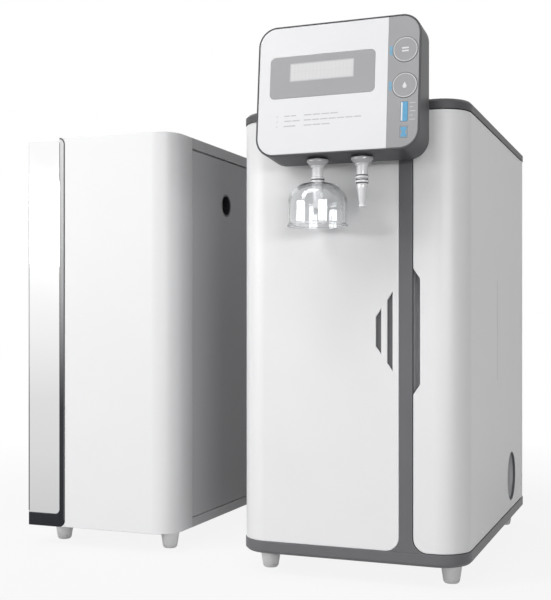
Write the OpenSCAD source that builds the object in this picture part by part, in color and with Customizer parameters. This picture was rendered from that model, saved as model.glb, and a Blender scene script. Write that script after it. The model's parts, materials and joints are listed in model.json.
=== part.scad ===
// Ultrapure water system: a dispensing cabinet with a control head, and its pretreatment cabinet.
// Millimetres. +Z is up, the fronts face -Y, and the feet stand at Z = 0.

/* [Cabinets] */
// Width of the dispensing cabinet
main_w = 254; // [245:1:310]
// Depth of both cabinets
cabinet_d = 431.5; // [425:0.5:540]
// Height of the dispensing cabinet above the bench
main_h = 506; // [495:1:620]
// Width of the pretreatment cabinet
left_w = 198.5; // [190:0.5:250]
// Height of the pretreatment cabinet above the bench
left_h = 503; // [480:1:620]
// Gap between the two cabinets
cabinet_gap = 104; // [20:1:200]
// How far the pretreatment cabinet stands back from the other one's front
left_setback = 48.5; // [0:0.5:80]
// Vertical corner radius of the dispensing cabinet
corner_r = 34; // [24:1:40]
// Vertical corner radius of the pretreatment cabinet
left_corner_r = 28; // [20:1:36]

/* [Feet] */
// Height of the feet
foot_h = 23.5; // [15:0.5:35]
// Radius of a foot at its top
foot_top_r = 12; // [9:0.5:16]
// Radius of a foot on the bench
foot_base_r = 8.5; // [6:0.5:12]
// Distance of a foot's axis from the cabinet's side
foot_inset_x = 24; // [18:1:40]
// Distance of a foot's axis from the cabinet's front or back
foot_inset_y = 43; // [20:1:80]

/* [Shells] */
// Thickness of the cabinet skins
skin_t = 2.5; // [1.5:0.1:4]
// How far the skins sit behind the base pan's and the lid's outline
skin_inset = 0.8; // [0:0.1:1.5]
// Height of the dispensing cabinet's base pan
base_h = 13.5; // [11:0.5:25]
// Height of the dispensing cabinet's lid
trim_h = 10.5; // [9:0.5:20]
// Bevel on the outer edge of the base pan and the lid
edge_bevel = 3; // [1:0.5:5]
// Width of the rim that the skins stand on
rim_w = 8; // [8:0.5:12]
// Thickness of the base pan's floor and of the lid's top
plate_t = 4; // [3:0.5:6]
// Gap round the moving side cover
cover_gap = 0.6; // [0.4:0.1:1.5]
// Gap round the fixed skins
skin_gap = 0.3; // [0.2:0.1:1]

/* [Front of the dispensing cabinet] */
// Distance of the mullion from the cabinet's left side
mullion_x = 183.5; // [178:0.5:190]
// Width of the mullion between the two skins
mullion_w = 14.5; // [10:0.5:18]
// Corner radius of the skins beside the mullion
skin_corner_r = 15; // [8:1:20]
// Height of the middle of the slots and the finger recess
grip_z = 266.3; // [200:0.1:320]
// Height of the finger recess at the mullion
grip_h = 132; // [90:1:160]
// Width of the finger recess's notch in the side cover
grip_notch_w = 7.8; // [6:0.1:12]
// Depth of the finger recess
grip_depth = 13; // [10:1:20]
// Rise of the slanted ends of the slots and the notch for each millimetre of width
grip_slant = 1.45; // [0.5:0.05:2]
// Height of the slot next to the mullion
slot_near_h = 82; // [50:1:110]
// Height of the slot farther from the mullion
slot_far_h = 47; // [30:1:70]
// Width of a slot
slot_w = 5.6; // [4:0.1:8]
// Distance from one slot to the next
slot_pitch = 12.3; // [9:0.1:16]
// Gap between the near slot and the mullion
slot_edge_gap = 6.9; // [4:0.1:10]

/* [Side cover] */
// Radius of the rolled rear edge that the cover turns on
bead_r = 3.3; // [3:0.1:4]
// Radius of the hinge pins
hinge_pin_r = 1.5; // [1:0.1:1.8]
// Length of a hinge pin inside the cover
hinge_pin_reach = 12; // [8:1:25]
// Length of a hinge pin inside the base pan or the lid
hinge_pin_seat = 7; // [4:0.5:8]
// Clearance all round a part that turns or slides in a hole
running_clear = 0.05; // [0.02:0.01:0.1]
// Radius of the round cup in the side cover
cup_r = 31; // [20:1:40]
// Depth of the round cup
cup_depth = 7; // [4:0.5:15]
// Distance of the cup's centre from the cabinet's front
cup_y = 305; // [200:1:340]
// Height of the cup's centre
cup_z = 78.5; // [75:0.5:150]
// Length of the groove in the side cover
groove_len = 117; // [60:1:160]
// Width of the groove
groove_w = 1.4; // [0.8:0.1:3]
// Distance of the groove from the cabinet's front
groove_y = 194; // [100:1:300]

/* [Control head] */
// Width of the head
head_w = 173; // [160:1:190]
// Height of the head along its face
head_h = 137; // [125:1:160]
// Distance of the head's left side from the cabinet's left side
head_x = 46; // [30:1:60]
// Height of the face's lower edge
head_z = 446; // [430:1:450]
// How far the face's lower edge stands in front of the cabinet
head_reach = 58; // [52:1:70]
// Space between the head's back and the cabinet's front
head_gap = 14; // [10:1:20]
// Tilt of the face, in degrees back from upright
head_tilt = 5.3; // [0:0.1:12]
// Corner radius of the face
head_r = 20; // [12:1:26]
// Wall of the head's housing
head_wall = 2.5; // [2:0.1:4]
// Thickness of the face plates
face_t = 2; // [1.5:0.1:3]
// Width of the housing's rim round the face plates
bezel_w = 1.8; // [1.2:0.1:3]
// Width of the white face plate
face_plate_w = 138; // [130:1:150]
// Width of the display window
window_w = 112; // [90:1:120]
// Height of the display window
window_h = 43.5; // [35:0.5:60]
// Distance of the window from the head's left side
window_x = 14.3; // [8:0.1:20]
// Distance of the window from the face's lower edge
window_y = 60.5; // [50:0.5:75]
// Radius of a button
button_r = 12.7; // [9:0.1:14]
// How far a button travels
button_travel = 1.2; // [0.5:0.1:2]
// How far a button stands out of its panel
button_proud = 0.5; // [0.2:0.1:2]
// Distance of the buttons' axis from the head's left side
button_x = 157.2; // [152:0.1:160]
// Height of the upper button's centre on the face
button_upper_y = 100.4; // [90:0.1:115]
// Height of the lower button's centre on the face
button_lower_y = 64.2; // [55:0.1:72]

/* [Outlets] */
// Distance of both outlets in front of the cabinet
outlet_reach = 38; // [34:1:44]
// Distance of the bell outlet from the cabinet's left side
bell_x = 107.6; // [95:0.1:110]
// Distance of the barbed outlet from the cabinet's left side
barb_x = 155.4; // [145:0.1:170]
// Radius of the outlets' collars under the head
collar_r = 11.3; // [9:0.1:14]
// Radius of the outlets' necks
neck_r = 5.7; // [5:0.1:6]
// Radius of the hole that the water leaves by
outlet_bore_r = 2; // [1:0.1:2.5]
// Radius of the bell at its lip
bell_r = 31.4; // [24:0.1:34]
// Height of the bell's lip above the bench
bell_lip_z = 374.6; // [360:0.1:385]
// Height of the bell
bell_h = 45; // [40:1:46]
// Wall of the bell
bell_t = 1.6; // [1:0.1:2.5]

/* [Pretreatment cabinet] */
// Width of the strip carrier on the front
carrier_w = 51; // [35:1:60]
// Width of the mirror strip
mirror_w = 44.7; // [30:0.1:54]
// Thickness of the mirror strip
mirror_t = 1.9; // [1:0.1:3]
// Height of the mirror strip's lower edge
mirror_z0 = 39.5; // [30:0.5:60]
// Height of the slit over the pan, where the side panel starts
lower_slit_z = 35.6; // [33:0.1:60]
// Height of the slit under the cap, where the side panel ends
upper_slit_z = 488.7; // [460:0.1:492]
// Width of the lower slit
lower_slit = 0.8; // [0.4:0.1:0.9]
// Width of the upper slit
upper_slit = 2.2; // [0.5:0.1:4]
// How far the front shell reaches round to the side
wrap_y = 56; // [40:1:80]
// Radius of the hose port
port_r = 12.6; // [8:0.1:16]
// Distance of the hose port from the cabinet's front
port_y = 159; // [110:1:260]
// Height of the hose port
port_z = 429.5; // [425:0.5:450]

/* [Water path] */
// Radius of a cartridge's body
cartridge_r = 34; // [28:0.5:36]
// Radius of a cartridge's caps
cartridge_cap_r = 36; // [30:0.5:38]
// Distance from one cartridge to the next
cartridge_pitch = 92; // [80:1:110]
// Height of a cartridge between its caps
cartridge_body_h = 245; // [200:1:280]
// Radius of the water tubes
tube_r = 3.2; // [2:0.1:4]
// Radius of the ultraviolet chamber
uv_r = 22; // [18:0.5:24]
// Length of the ultraviolet chamber
uv_len = 300; // [200:1:340]
// Radius of the pump motor
motor_r = 27; // [22:0.5:32]
// Radius of a prefilter's bowl
bowl_r = 28; // [24:0.5:32]
// Length of a prefilter's bowl
bowl_h = 230; // [180:1:260]
// Distance from one prefilter to the next
prefilter_pitch = 70; // [66:1:80]

/* [Hidden] */
$fn = 64;

// Colours
white = "#e9e9ea";
pale = "#d4d5d6";
mid_grey = "#a9aaab";
dark_grey = "#6d6d70";
black = "#242528";
blue = "#84bcdc";
steel = "#b9bcc0";

// Heights
panel_z0 = foot_h + base_h;
panel_z1 = main_h - trim_h;
floor_z = foot_h + plate_t;
ceiling_z = main_h - plate_t;

// Places of the skins
skin_in = skin_inset + skin_t;
back_out = cabinet_d - skin_inset;
back_in = back_out - skin_t;
back_split_y = cabinet_d - corner_r - 8;
hinge_x = main_w - skin_inset - bead_r;
hinge_y = back_split_y - bead_r - cover_gap;
mullion_x1 = mullion_x + mullion_w;
flare = skin_corner_r + 2;
past = 50;

// Finger recess
pocket_wall = 3;
pocket_x1 = mullion_x1 + grip_notch_w + 6;
pocket_front = skin_in + cover_gap;
grip_tip_h = grip_h - 2 * grip_notch_w * grip_slant;
backing_t = 3;

// Catch of the side cover, below the finger recess
magnet_h = 40;
magnet_z = grip_z - grip_h / 2 - 45;
magnet_clear = 0.3;
magnet_notch_x = mullion_x1 + 5;
striker_h = 26;

// Places of the slots
slot_near_x = mullion_x - slot_edge_gap;
slot_far_x = slot_near_x - slot_pitch;

// Control head
head_cut = 90;
wall_front = -face_t;
wall_back = -face_t - 2;
button_hole_r = button_r + 0.3;
button_tab_w = 12;
button_tab_l = 2 * button_hole_r + 3;
button_tab_t = 1.2;
board_front = wall_back - 6.8;
board_t = 1.6;
fit_gap = 0.15;
panel_x0 = face_plate_w + bezel_w;
light_w = 7.2;
light_x = button_x - 3.7;
bar_h = 19.6;
bar_y = 27.9;
lamp_h = 11.4;
lamp_y = 11.5;
lcd_w = 71;
lcd_h = 24;
lcd_d = 6;
lcd_x = window_x + 20;
lcd_y = window_y + 14.5;

// Outlets
under_z = head_z - (head_reach - outlet_reach) * tan(head_tilt);
outlet_y = -outlet_reach;
spigot_r = 4;
spigot_h = 14;
neck_hole_r = 4.5;
neck_top_z = under_z + 18;
neck_end_z = bell_lip_z + 51;
stem_r = 6.2;
ring_r = 7.1;
ring_h = 2.2;
stem_tip_z = bell_lip_z + 18.5;
crossing_z = neck_top_z + 11.5;
tube_pass_r = 6;

// Inside the dispensing cabinet
divider_x = 128;
divider_t = 3;
rack_x0 = divider_x + divider_t;
cartridge_x = rack_x0 + 59;
cartridge_y = 75;
rack_t = 3;
rack_base_t = 10;
socket_depth = 6;
seat_clear = 0.3;
cap_h = 26;
cartridge_z = floor_z + rack_base_t - socket_depth;
cartridge_top = cartridge_z + 2 * cap_h + cartridge_body_h;
stub_r = 6;
stub_h = 12;
stub_dy = 14;
stub_top = cartridge_top + stub_h;
link_rise = 18;
uv_x = divider_x - uv_r - 4;
uv_y = 60;
uv_z = floor_z + 85;
uv_stub_z = uv_z + 20;
uv_stub_x = uv_x - uv_r - 6;
lamp_r = 8;
pump_x = 66;
pump_z = floor_z + 45;
motor_y0 = 120;
motor_y1 = 190;
pump_head_l = 45;
shaft_r = 4;
valve_w = 30;
valve_y = 300;
valve_z = 210;
valve_x = divider_x - valve_w / 2;
valve_travel = 3;
plunger_r = 5;
valve_tube_z = valve_z + 15;
pump_outlet_x = 60;
pump_tube_z = pump_z + 12;
port_len = 20;
port_nut = 6;
port_nut_r = 10;
port_shank_r = 7;
port_collar_r = 11;
port_collar_t = 4;
port_bore_r = 2.5;
barb_port_r = 5;
hole_clear = 0.2;
feed_port = [pump_x, pump_tube_z];
drain_port = [valve_x, valve_tube_z];
tank_port = [cartridge_x + 15, cartridge_top + 60];
inlet_x = 190;
inlet_z = floor_z + 55;
inlet_half_w = 13.6;
inlet_half_h = 24.6;
inlet_clear = 0.4;
socket_dz = -12.5;
rocker_dz = 13;
rocker_rest = 10;

// Pretreatment cabinet
left_x0 = -cabinet_gap - left_w;
left_x1 = -cabinet_gap;
left_y0 = left_setback;
left_y1 = left_setback + cabinet_d;
left_split_y = left_y1 - left_corner_r - 8;
left_pan_z1 = lower_slit_z - lower_slit / 2;
left_panel_z0 = lower_slit_z + lower_slit / 2;
left_panel_z1 = upper_slit_z - upper_slit / 2;
left_cap_z0 = upper_slit_z + upper_slit / 2;
carrier_d = 12;
strip_proud = 1.5;
mirror_z1 = left_h - 1.5;
shelf_z = 414;
filter_x = left_x0 + 66;
filter_y = left_y0 + 95;
filter_head_h = 34;
filter_neck_r = 11.5;
tank_x0 = left_x0 + 28;
tank_y0 = left_y0 + 290;
tank_w = 145;
tank_d = 115;
tank_h = 360;
tank_neck_r = 20;
tank_neck_h = 14;
port_ring_t = 2.5;

// Centre of the whole object's footprint, where the origin lies
front_end = min(outlet_y - bell_r, -head_reach);
rear_end = max(left_y1, back_out + port_len);
origin_x = (left_x0 + main_w) / 2;
origin_y = (front_end + rear_end) / 2;

// ---------- shared shapes ----------

module place() {
  translate([-origin_x, -origin_y, 0]) children();
}

// Rounded rectangle with one corner of its box at the origin
module rounded_rect(w, d, r) {
  translate([r, 0]) square([w - 2 * r, d]);
  translate([0, r]) square([w, d - 2 * r]);
  for (x = [r, w - r], y = [r, d - r]) {
    translate([x, y]) circle(r = r);
  }
}

// Slab with its lower outer edge bevelled all round
module bevelled_slab(w, d, h, r, bevel) {
  translate([0, 0, bevel]) linear_extrude(h - bevel) rounded_rect(w, d, r);
  translate([r, 0, 0]) rotate([90, 0, 90]) linear_extrude(w - 2 * r)
    polygon([[bevel, 0], [d - bevel, 0], [d, bevel], [0, bevel]]);
  translate([0, d - r, 0]) rotate([90, 0, 0]) linear_extrude(d - 2 * r)
    polygon([[bevel, 0], [w - bevel, 0], [w, bevel], [0, bevel]]);
  for (x = [r, w - r], y = [r, d - r]) {
    translate([x, y, 0]) cylinder(h = bevel, r1 = r - bevel, r2 = r);
  }
}

// Extrudes an outline drawn in X and Z from y0 to y1
module along_y(y0, y1) {
  translate([0, y1, 0]) rotate([90, 0, 0]) linear_extrude(y1 - y0) children();
}

// Turns a shape's own Z axis to +Y
module facing_back() {
  rotate([-90, 0, 0]) children();
}

// Turns a shape's own Z axis to +X
module facing_right() {
  rotate([0, 90, 0]) children();
}

// Four copies at the corners of a rectangle
module at_corners(x0, x1, y0, y1) {
  for (x = [x0, x1], y = [y0, y1]) {
    translate([x, y, 0]) children();
  }
}

// Tube along straight runs, with a ball at each bend
module pipe(points, r) {
  for (i = [0 : len(points) - 2]) {
    run = points[i + 1] - points[i];
    length = norm(run);
    turn_y = acos(run[2] / length);
    turn_z = atan2(run[1], run[0]);
    translate(points[i]) rotate([0, turn_y, turn_z]) cylinder(h = length, r = r);
  }
  if (len(points) > 2) {
    for (i = [1 : len(points) - 2]) {
      translate(points[i]) sphere(r = r);
    }
  }
}

module foot() {
  chamfer = 1.5;
  cylinder(h = chamfer, r1 = foot_base_r - chamfer, r2 = foot_base_r);
  translate([0, 0, chamfer]) cylinder(h = foot_h - chamfer, r1 = foot_base_r, r2 = foot_top_r);
}

// ---------- dispensing cabinet ----------

// Wall section of the cabinet, seen from above
module main_ring() {
  difference() {
    translate([skin_inset, skin_inset])
      rounded_rect(main_w - 2 * skin_inset, cabinet_d - 2 * skin_inset, corner_r - skin_inset);
    translate([skin_in, skin_in])
      rounded_rect(main_w - 2 * skin_in, cabinet_d - 2 * skin_in, corner_r - skin_in);
  }
}

// Front outline of the left shell, with rounded corners at the mullion
module left_shell_outline(grow) {
  translate([-past, panel_z0 - grow])
    rounded_rect(past + mullion_x + grow, panel_z1 - panel_z0 + 2 * grow, skin_corner_r + grow);
}

// Front outline of the side cover, with rounded corners at the mullion
module side_cover_outline(shrink) {
  translate([mullion_x1 + shrink, panel_z0 + shrink])
    rounded_rect(main_w + past - mullion_x1, panel_z1 - panel_z0 - 2 * shrink, skin_corner_r);
}

// Slot or notch whose short side lies at x0 and whose long side lies at x1
module slanted_slot(x0, x1, long_h) {
  rise = abs(x1 - x0) * grip_slant;
  polygon([
    [x1, grip_z - long_h / 2], [x1, grip_z + long_h / 2],
    [x0, grip_z + long_h / 2 - rise], [x0, grip_z - long_h / 2 + rise]
  ]);
}

module hollow_pan(w, d, h, r) {
  difference() {
    bevelled_slab(w, d, h, r, edge_bevel);
    translate([rim_w, rim_w, plate_t])
      linear_extrude(h) rounded_rect(w - 2 * rim_w, d - 2 * rim_w, r - rim_w);
  }
}

module hinge_pin_hole(z0, h) {
  translate([hinge_x, hinge_y, z0]) cylinder(h = h, r = hinge_pin_r + 0.02);
}

module main_base_pan() {
  color(dark_grey) difference() {
    translate([0, 0, foot_h]) hollow_pan(main_w, cabinet_d, base_h, corner_r);
    hinge_pin_hole(panel_z0 - hinge_pin_seat, hinge_pin_seat + 1);
  }
}

module main_top_lid() {
  color(dark_grey) difference() {
    translate([0, 0, main_h]) mirror([0, 0, 1]) hollow_pan(main_w, cabinet_d, trim_h, corner_r);
    hinge_pin_hole(panel_z1 - 1, hinge_pin_seat + 1);
  }
}

module main_feet() {
  color(pale)
    at_corners(foot_inset_x, main_w - foot_inset_x, foot_inset_y, cabinet_d - foot_inset_y) foot();
}

module main_left_shell() {
  color(white) difference() {
    intersection() {
      translate([0, 0, panel_z0]) linear_extrude(panel_z1 - panel_z0) intersection() {
        main_ring();
        translate([-1, -1]) square([mullion_x + 1, back_split_y + 1]);
      }
      along_y(-1, cabinet_d) left_shell_outline(0);
    }
    along_y(-1, past) slanted_slot(slot_near_x - slot_w, slot_near_x, slot_near_h);
    along_y(-1, past) slanted_slot(slot_far_x - slot_w, slot_far_x, slot_far_h);
    for (x = [bell_x, barb_x]) {
      translate([x, -1, crossing_z]) facing_back() cylinder(h = past, r = tube_pass_r);
    }
  }
}

module main_mullion() {
  backing_y1 = pocket_front + backing_t;
  pocket_y1 = pocket_front + grip_depth;
  pocket_half = grip_h / 2 + pocket_wall;
  slot_half = slot_near_h / 2 + 6;
  color(dark_grey) difference() {
    union() {
      // Face, flared where the rounded skin corners leave room
      along_y(skin_inset / 2, backing_y1) difference() {
        translate([mullion_x - flare, panel_z0])
          square([mullion_w + 2 * flare, panel_z1 - panel_z0]);
        left_shell_outline(skin_gap);
        side_cover_outline(0);
      }
      // Backing behind both skins
      along_y(pocket_front, backing_y1) translate([mullion_x - flare, panel_z0])
        square([mullion_w + 2 * flare, panel_z1 - panel_z0]);
      // Backing behind the slots, and the body of the finger recess
      along_y(pocket_front, backing_y1) translate([slot_far_x - slot_w - 6, grip_z - slot_half])
        square([mullion_x - slot_far_x + slot_w, 2 * slot_half]);
      along_y(pocket_front, pocket_y1 + pocket_wall)
        translate([mullion_x1 - pocket_wall, grip_z - pocket_half])
          square([pocket_x1 - mullion_x1 + 2 * pocket_wall, 2 * pocket_half]);
    }
    along_y(-1, pocket_y1) slanted_slot(mullion_x1 + grip_notch_w, mullion_x1, grip_h);
    along_y(skin_in, pocket_y1) translate([mullion_x1, grip_z - grip_tip_h / 2])
      square([pocket_x1 - mullion_x1, grip_tip_h]);
    // Notch that lets the striker reach the magnet
    along_y(-1, past) translate([magnet_notch_x, magnet_z - striker_h / 2 - 1])
      square([past, striker_h + 2]);
  }
}

module side_cover() {
  cover_z0 = panel_z0 + cover_gap;
  cover_h = panel_z1 - panel_z0 - 2 * cover_gap;
  color(white) difference() {
    union() {
      intersection() {
        translate([0, 0, cover_z0]) linear_extrude(cover_h) intersection() {
          main_ring();
          translate([mullion_x1, -1]) square([main_w, hinge_y + 1]);
        }
        along_y(-1, cabinet_d) side_cover_outline(cover_gap);
      }
      translate([hinge_x, hinge_y, cover_z0]) cylinder(h = cover_h, r = bead_r);
    }
    along_y(-1, past) slanted_slot(mullion_x1 + grip_notch_w, mullion_x1, grip_h);
    for (z = [cover_z0 - 1, panel_z1 - cover_gap - hinge_pin_reach]) {
      translate([hinge_x, hinge_y, z])
        cylinder(h = hinge_pin_reach + 1, r = hinge_pin_r + running_clear);
    }
    translate([main_w - past, cup_y, cup_z]) facing_right() cylinder(h = 2 * past, r = cup_r);
    translate([main_w - skin_inset - groove_w, groove_y, grip_z - groove_len / 2])
      cube([past, groove_w, groove_len]);
  }
}

module side_cover_cup() {
  lip_r = cup_r + 3;
  lip_t = 1.5;
  cup_wall = 1.5;
  inner_x = main_w - skin_in;
  rim_x = main_w - skin_inset;
  color(dark_grey) translate([0, cup_y, cup_z]) difference() {
    union() {
      translate([rim_x - cup_depth - cup_wall, 0, 0]) facing_right()
        cylinder(h = cup_depth + cup_wall, r = cup_r - 0.1);
      translate([inner_x - lip_t, 0, 0]) facing_right() cylinder(h = lip_t, r = lip_r);
    }
    translate([rim_x - cup_depth, 0, 0]) facing_right()
      cylinder(h = past, r = cup_r - cup_wall);
  }
}

module hinge_pins() {
  pin_len = hinge_pin_seat + cover_gap + hinge_pin_reach - 0.5;
  color(steel) {
    translate([hinge_x, hinge_y, panel_z0 - hinge_pin_seat]) cylinder(h = pin_len, r = hinge_pin_r);
    translate([hinge_x, hinge_y, panel_z1 + hinge_pin_seat - pin_len])
      cylinder(h = pin_len, r = hinge_pin_r);
  }
}

module cover_magnet() {
  color(black) translate([mullion_x1, pocket_front + backing_t, magnet_z - magnet_h / 2])
    cube([flare, 10, magnet_h]);
}

module cover_striker() {
  striker_t = backing_t + cover_gap - magnet_clear;
  color(steel) translate([magnet_notch_x + 1, skin_in, magnet_z - striker_h / 2])
    cube([mullion_x1 + flare - magnet_notch_x - 2, striker_t, striker_h]);
}

module main_back_panel() {
  vent_len = 70;
  vent_w = 2;
  vent_pitch = 5;
  vent_drop = 60;
  vent_x = main_w / 2;
  cut_half_w = inlet_half_w + inlet_clear;
  cut_half_h = inlet_half_h + inlet_clear;
  color(pale) difference() {
    translate([0, 0, panel_z0]) linear_extrude(panel_z1 - panel_z0) intersection() {
      main_ring();
      translate([-1, back_split_y]) square([main_w + 2, cabinet_d]);
    }
    for (p = [feed_port, drain_port, tank_port]) {
      translate([p[0], back_in - 1, p[1]]) facing_back()
        cylinder(h = past, r = port_shank_r + hole_clear);
    }
    translate([inlet_x - cut_half_w, back_in - 1, inlet_z - cut_half_h])
      cube([2 * cut_half_w, past, 2 * cut_half_h]);
    for (row = [0 : 7]) {
      translate([vent_x - vent_len / 2, back_in - 1, panel_z1 - vent_drop + vent_pitch * row])
        cube([vent_len, past, vent_w]);
    }
  }
}

module main_divider() {
  saddle_h = 14;
  saddle_inset = 40;
  saddle_margin = 4;
  y0 = 24;
  color(steel) difference() {
    union() {
      translate([divider_x, y0, floor_z])
        cube([divider_t, back_split_y + 10 - y0, ceiling_z - floor_z]);
      for (z = [uv_z + saddle_inset, uv_z + uv_len - saddle_inset - saddle_h]) {
        translate([uv_x, uv_y - uv_r - saddle_margin, z])
          cube([divider_x - uv_x, 2 * (uv_r + saddle_margin), saddle_h]);
      }
    }
    translate([uv_x, uv_y, floor_z]) cylinder(h = ceiling_z - floor_z, r = uv_r + 0.1);
  }
}

// ---------- control head ----------

// Puts a shape on the head's face: X across, Y up the face, Z out of the face
module on_face() {
  translate([head_x, -head_reach, head_z]) rotate([90 - head_tilt, 0, 0]) children();
}

// Block of the face's outline, shrunk by inset, between two depths behind the face
module face_block(inset, z0, z1) {
  translate([inset, inset, z0]) linear_extrude(z1 - z0)
    rounded_rect(head_w - 2 * inset, head_h - 2 * inset, head_r - inset);
}

module in_front_of(y) {
  translate([head_x - past, y - 4 * past, head_z - past]) cube([head_w + 2 * past, 4 * past, 5 * past]);
}

module button_centres() {
  for (y = [button_upper_y, button_lower_y]) {
    translate([button_x, y, 0]) children();
  }
}

module light_outlines(grow) {
  translate([light_x - grow, bar_y - grow]) square([light_w + 2 * grow, bar_h + 2 * grow]);
  translate([light_x - grow, lamp_y - grow]) square([light_w + 2 * grow, lamp_h + 2 * grow]);
}

board_x0 = 24;
board_x1 = head_w - 8;
board_y0 = 9;
board_y1 = head_h - 16;
board_notch_y = 34;
post_inset = 6;
post_x1 = panel_x0 - 4;

module head_housing() {
  color(dark_grey) difference() {
    intersection() {
      union() {
        difference() {
          on_face() face_block(0, -head_cut, 0);
          on_face() face_block(bezel_w, -face_t, 1);
          on_face() face_block(head_wall, -head_cut - 1, wall_back);
        }
        on_face() for (x = [board_x0 + post_inset, post_x1],
                       y = [board_notch_y + post_inset, board_y1 - post_inset]) {
          translate([x, y, board_front]) cylinder(h = wall_back - board_front, r = 3);
        }
      }
      in_front_of(-head_gap);
    }
    on_face() {
      translate([0, 0, wall_back - 1]) button_centres() cylinder(h = past, r = button_hole_r);
      translate([0, 0, wall_back - 1]) linear_extrude(past) light_outlines(fit_gap);
      translate([lcd_x - 0.5, lcd_y - 0.5, wall_back - 1]) cube([lcd_w + 1, lcd_h + 1, past]);
    }
    for (x = [bell_x, barb_x]) {
      translate([x, outlet_y, under_z - 6]) cylinder(h = 16, r = neck_hole_r);
    }
  }
}

module head_back_plate() {
  plate = 2.5;
  color(dark_grey) difference() {
    intersection() {
      on_face() face_block(head_wall + fit_gap, -head_cut, 0);
      in_front_of(-head_gap);
      translate([head_x - past, -head_gap - plate, head_z - past])
        cube([head_w + 2 * past, plate, 5 * past]);
    }
    for (x = [bell_x, barb_x]) {
      translate([x, -head_gap - past / 2, crossing_z]) facing_back() cylinder(h = past, r = tube_pass_r);
    }
  }
}

// Part of the face between two distances from the head's left side
module face_slice(x0, x1) {
  intersection() {
    face_block(bezel_w + fit_gap, -face_t, 0);
    translate([x0, 0, -face_t]) cube([x1 - x0, head_h, face_t]);
  }
}

module window_outline(grow) {
  translate([window_x - grow, window_y - grow])
    rounded_rect(window_w + 2 * grow, window_h + 2 * grow, 5 + grow);
}

module face_plate() {
  color(white) on_face() difference() {
    face_slice(0, panel_x0 - fit_gap);
    translate([0, 0, -face_t - 1]) linear_extrude(past) window_outline(fit_gap);
  }
}

module display_window() {
  color(mid_grey) on_face() translate([0, 0, -face_t]) linear_extrude(face_t) window_outline(0);
}

module button_panel() {
  color(mid_grey) on_face() difference() {
    face_slice(panel_x0, head_w);
    translate([0, 0, -face_t - 1]) button_centres() cylinder(h = past, r = button_hole_r);
    translate([0, 0, -face_t - 1]) linear_extrude(past) light_outlines(fit_gap);
  }
}

module lcd_module() {
  pcb_margin_x = 4.5;
  pcb_margin_y = 6;
  pcb_t = 1.6;
  pcb_back = -face_t - lcd_d - pcb_t;
  color(pale) on_face() {
    translate([lcd_x, lcd_y, -face_t - lcd_d]) cube([lcd_w, lcd_h, lcd_d]);
    translate([lcd_x - pcb_margin_x, lcd_y - pcb_margin_y, pcb_back])
      cube([lcd_w + 2 * pcb_margin_x, lcd_h + 2 * pcb_margin_y, pcb_t]);
    for (x = [lcd_x, lcd_x + lcd_w], y = [lcd_y - 2, lcd_y + lcd_h + 2]) {
      translate([x, y, board_front]) cylinder(h = pcb_back - board_front, r = 2);
    }
  }
}

module head_board() {
  switch_w = 12;
  switch_top = wall_back - button_tab_t - button_travel - 1.9;
  color("#3f7d58") on_face() {
    difference() {
      translate([board_x0, board_y0, board_front - board_t])
        cube([board_x1 - board_x0, board_y1 - board_y0, board_t]);
      translate([board_x0 - 1, board_y0 - 1, board_front - past])
        cube([panel_x0 + 6 - board_x0, board_notch_y - board_y0 + 1, 2 * past]);
    }
    button_centres() translate([-switch_w / 2, -switch_w / 2, board_front])
      cube([switch_w, switch_w, switch_top - board_front]);
  }
}

module push_button() {
  stem_l = 1.2;
  tab_top = wall_back - 0.3;
  tab_back = tab_top - button_tab_t;
  color(mid_grey) on_face() translate([button_x, 0, 0]) {
    translate([0, 0, tab_top]) cylinder(h = button_proud - tab_top, r = button_r);
    translate([-button_tab_w / 2, -button_tab_l / 2, tab_back])
      cube([button_tab_w, button_tab_l, button_tab_t]);
    translate([0, 0, tab_back - stem_l]) cylinder(h = stem_l, r = 3);
  }
}

// Moves a shape up the face
module up_face(y) {
  translate([0, y * sin(head_tilt), y * cos(head_tilt)]) children();
}

module button_upper() {
  up_face(button_upper_y) push_button();
}

module button_lower() {
  up_face(button_lower_y) push_button();
}

module status_lights() {
  color(blue) on_face() translate([0, 0, board_front])
    linear_extrude(-board_front) light_outlines(0);
}

module head_bracket() {
  margin = 14;
  color(dark_grey) difference() {
    translate([bell_x - margin, -head_gap, crossing_z - margin])
      cube([barb_x - bell_x + 2 * margin, head_gap + skin_inset, 2 * margin]);
    for (x = [bell_x, barb_x]) {
      translate([x, -past, crossing_z]) facing_back() cylinder(h = 2 * past, r = tube_pass_r);
    }
  }
}

// Space above the head's sloping underside
module above_underside() {
  on_face() translate([-past, 0, -4 * past]) cube([head_w + 2 * past, 4 * past, 8 * past]);
}

// Collar, neck and screwed end that both outlets share
module outlet_top(x) {
  translate([x, outlet_y, 0]) {
    translate([0, 0, under_z - 1.5]) cylinder(h = neck_top_z - under_z + 1.5, r = neck_hole_r - 0.2);
  }
  difference() {
    translate([x, outlet_y, 0]) {
      translate([0, 0, under_z - 3.5]) cylinder(h = 6, r = collar_r);
      translate([0, 0, under_z - 6.5]) cylinder(h = 3, r1 = collar_r - 3, r2 = collar_r - 0.6);
      translate([0, 0, under_z - 8.5]) cylinder(h = 2, r = neck_r + 1.6);
      translate([0, 0, neck_end_z]) cylinder(h = under_z - neck_end_z, r = neck_r);
    }
    above_underside();
  }
}

module bell_nozzle() {
  color(pale) difference() {
    union() {
      outlet_top(bell_x);
      translate([bell_x, outlet_y, neck_end_z - spigot_h]) cylinder(h = spigot_h, r = spigot_r);
    }
    translate([bell_x, outlet_y, neck_end_z - past]) cylinder(h = 2 * past, r = outlet_bore_r);
  }
}

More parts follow.
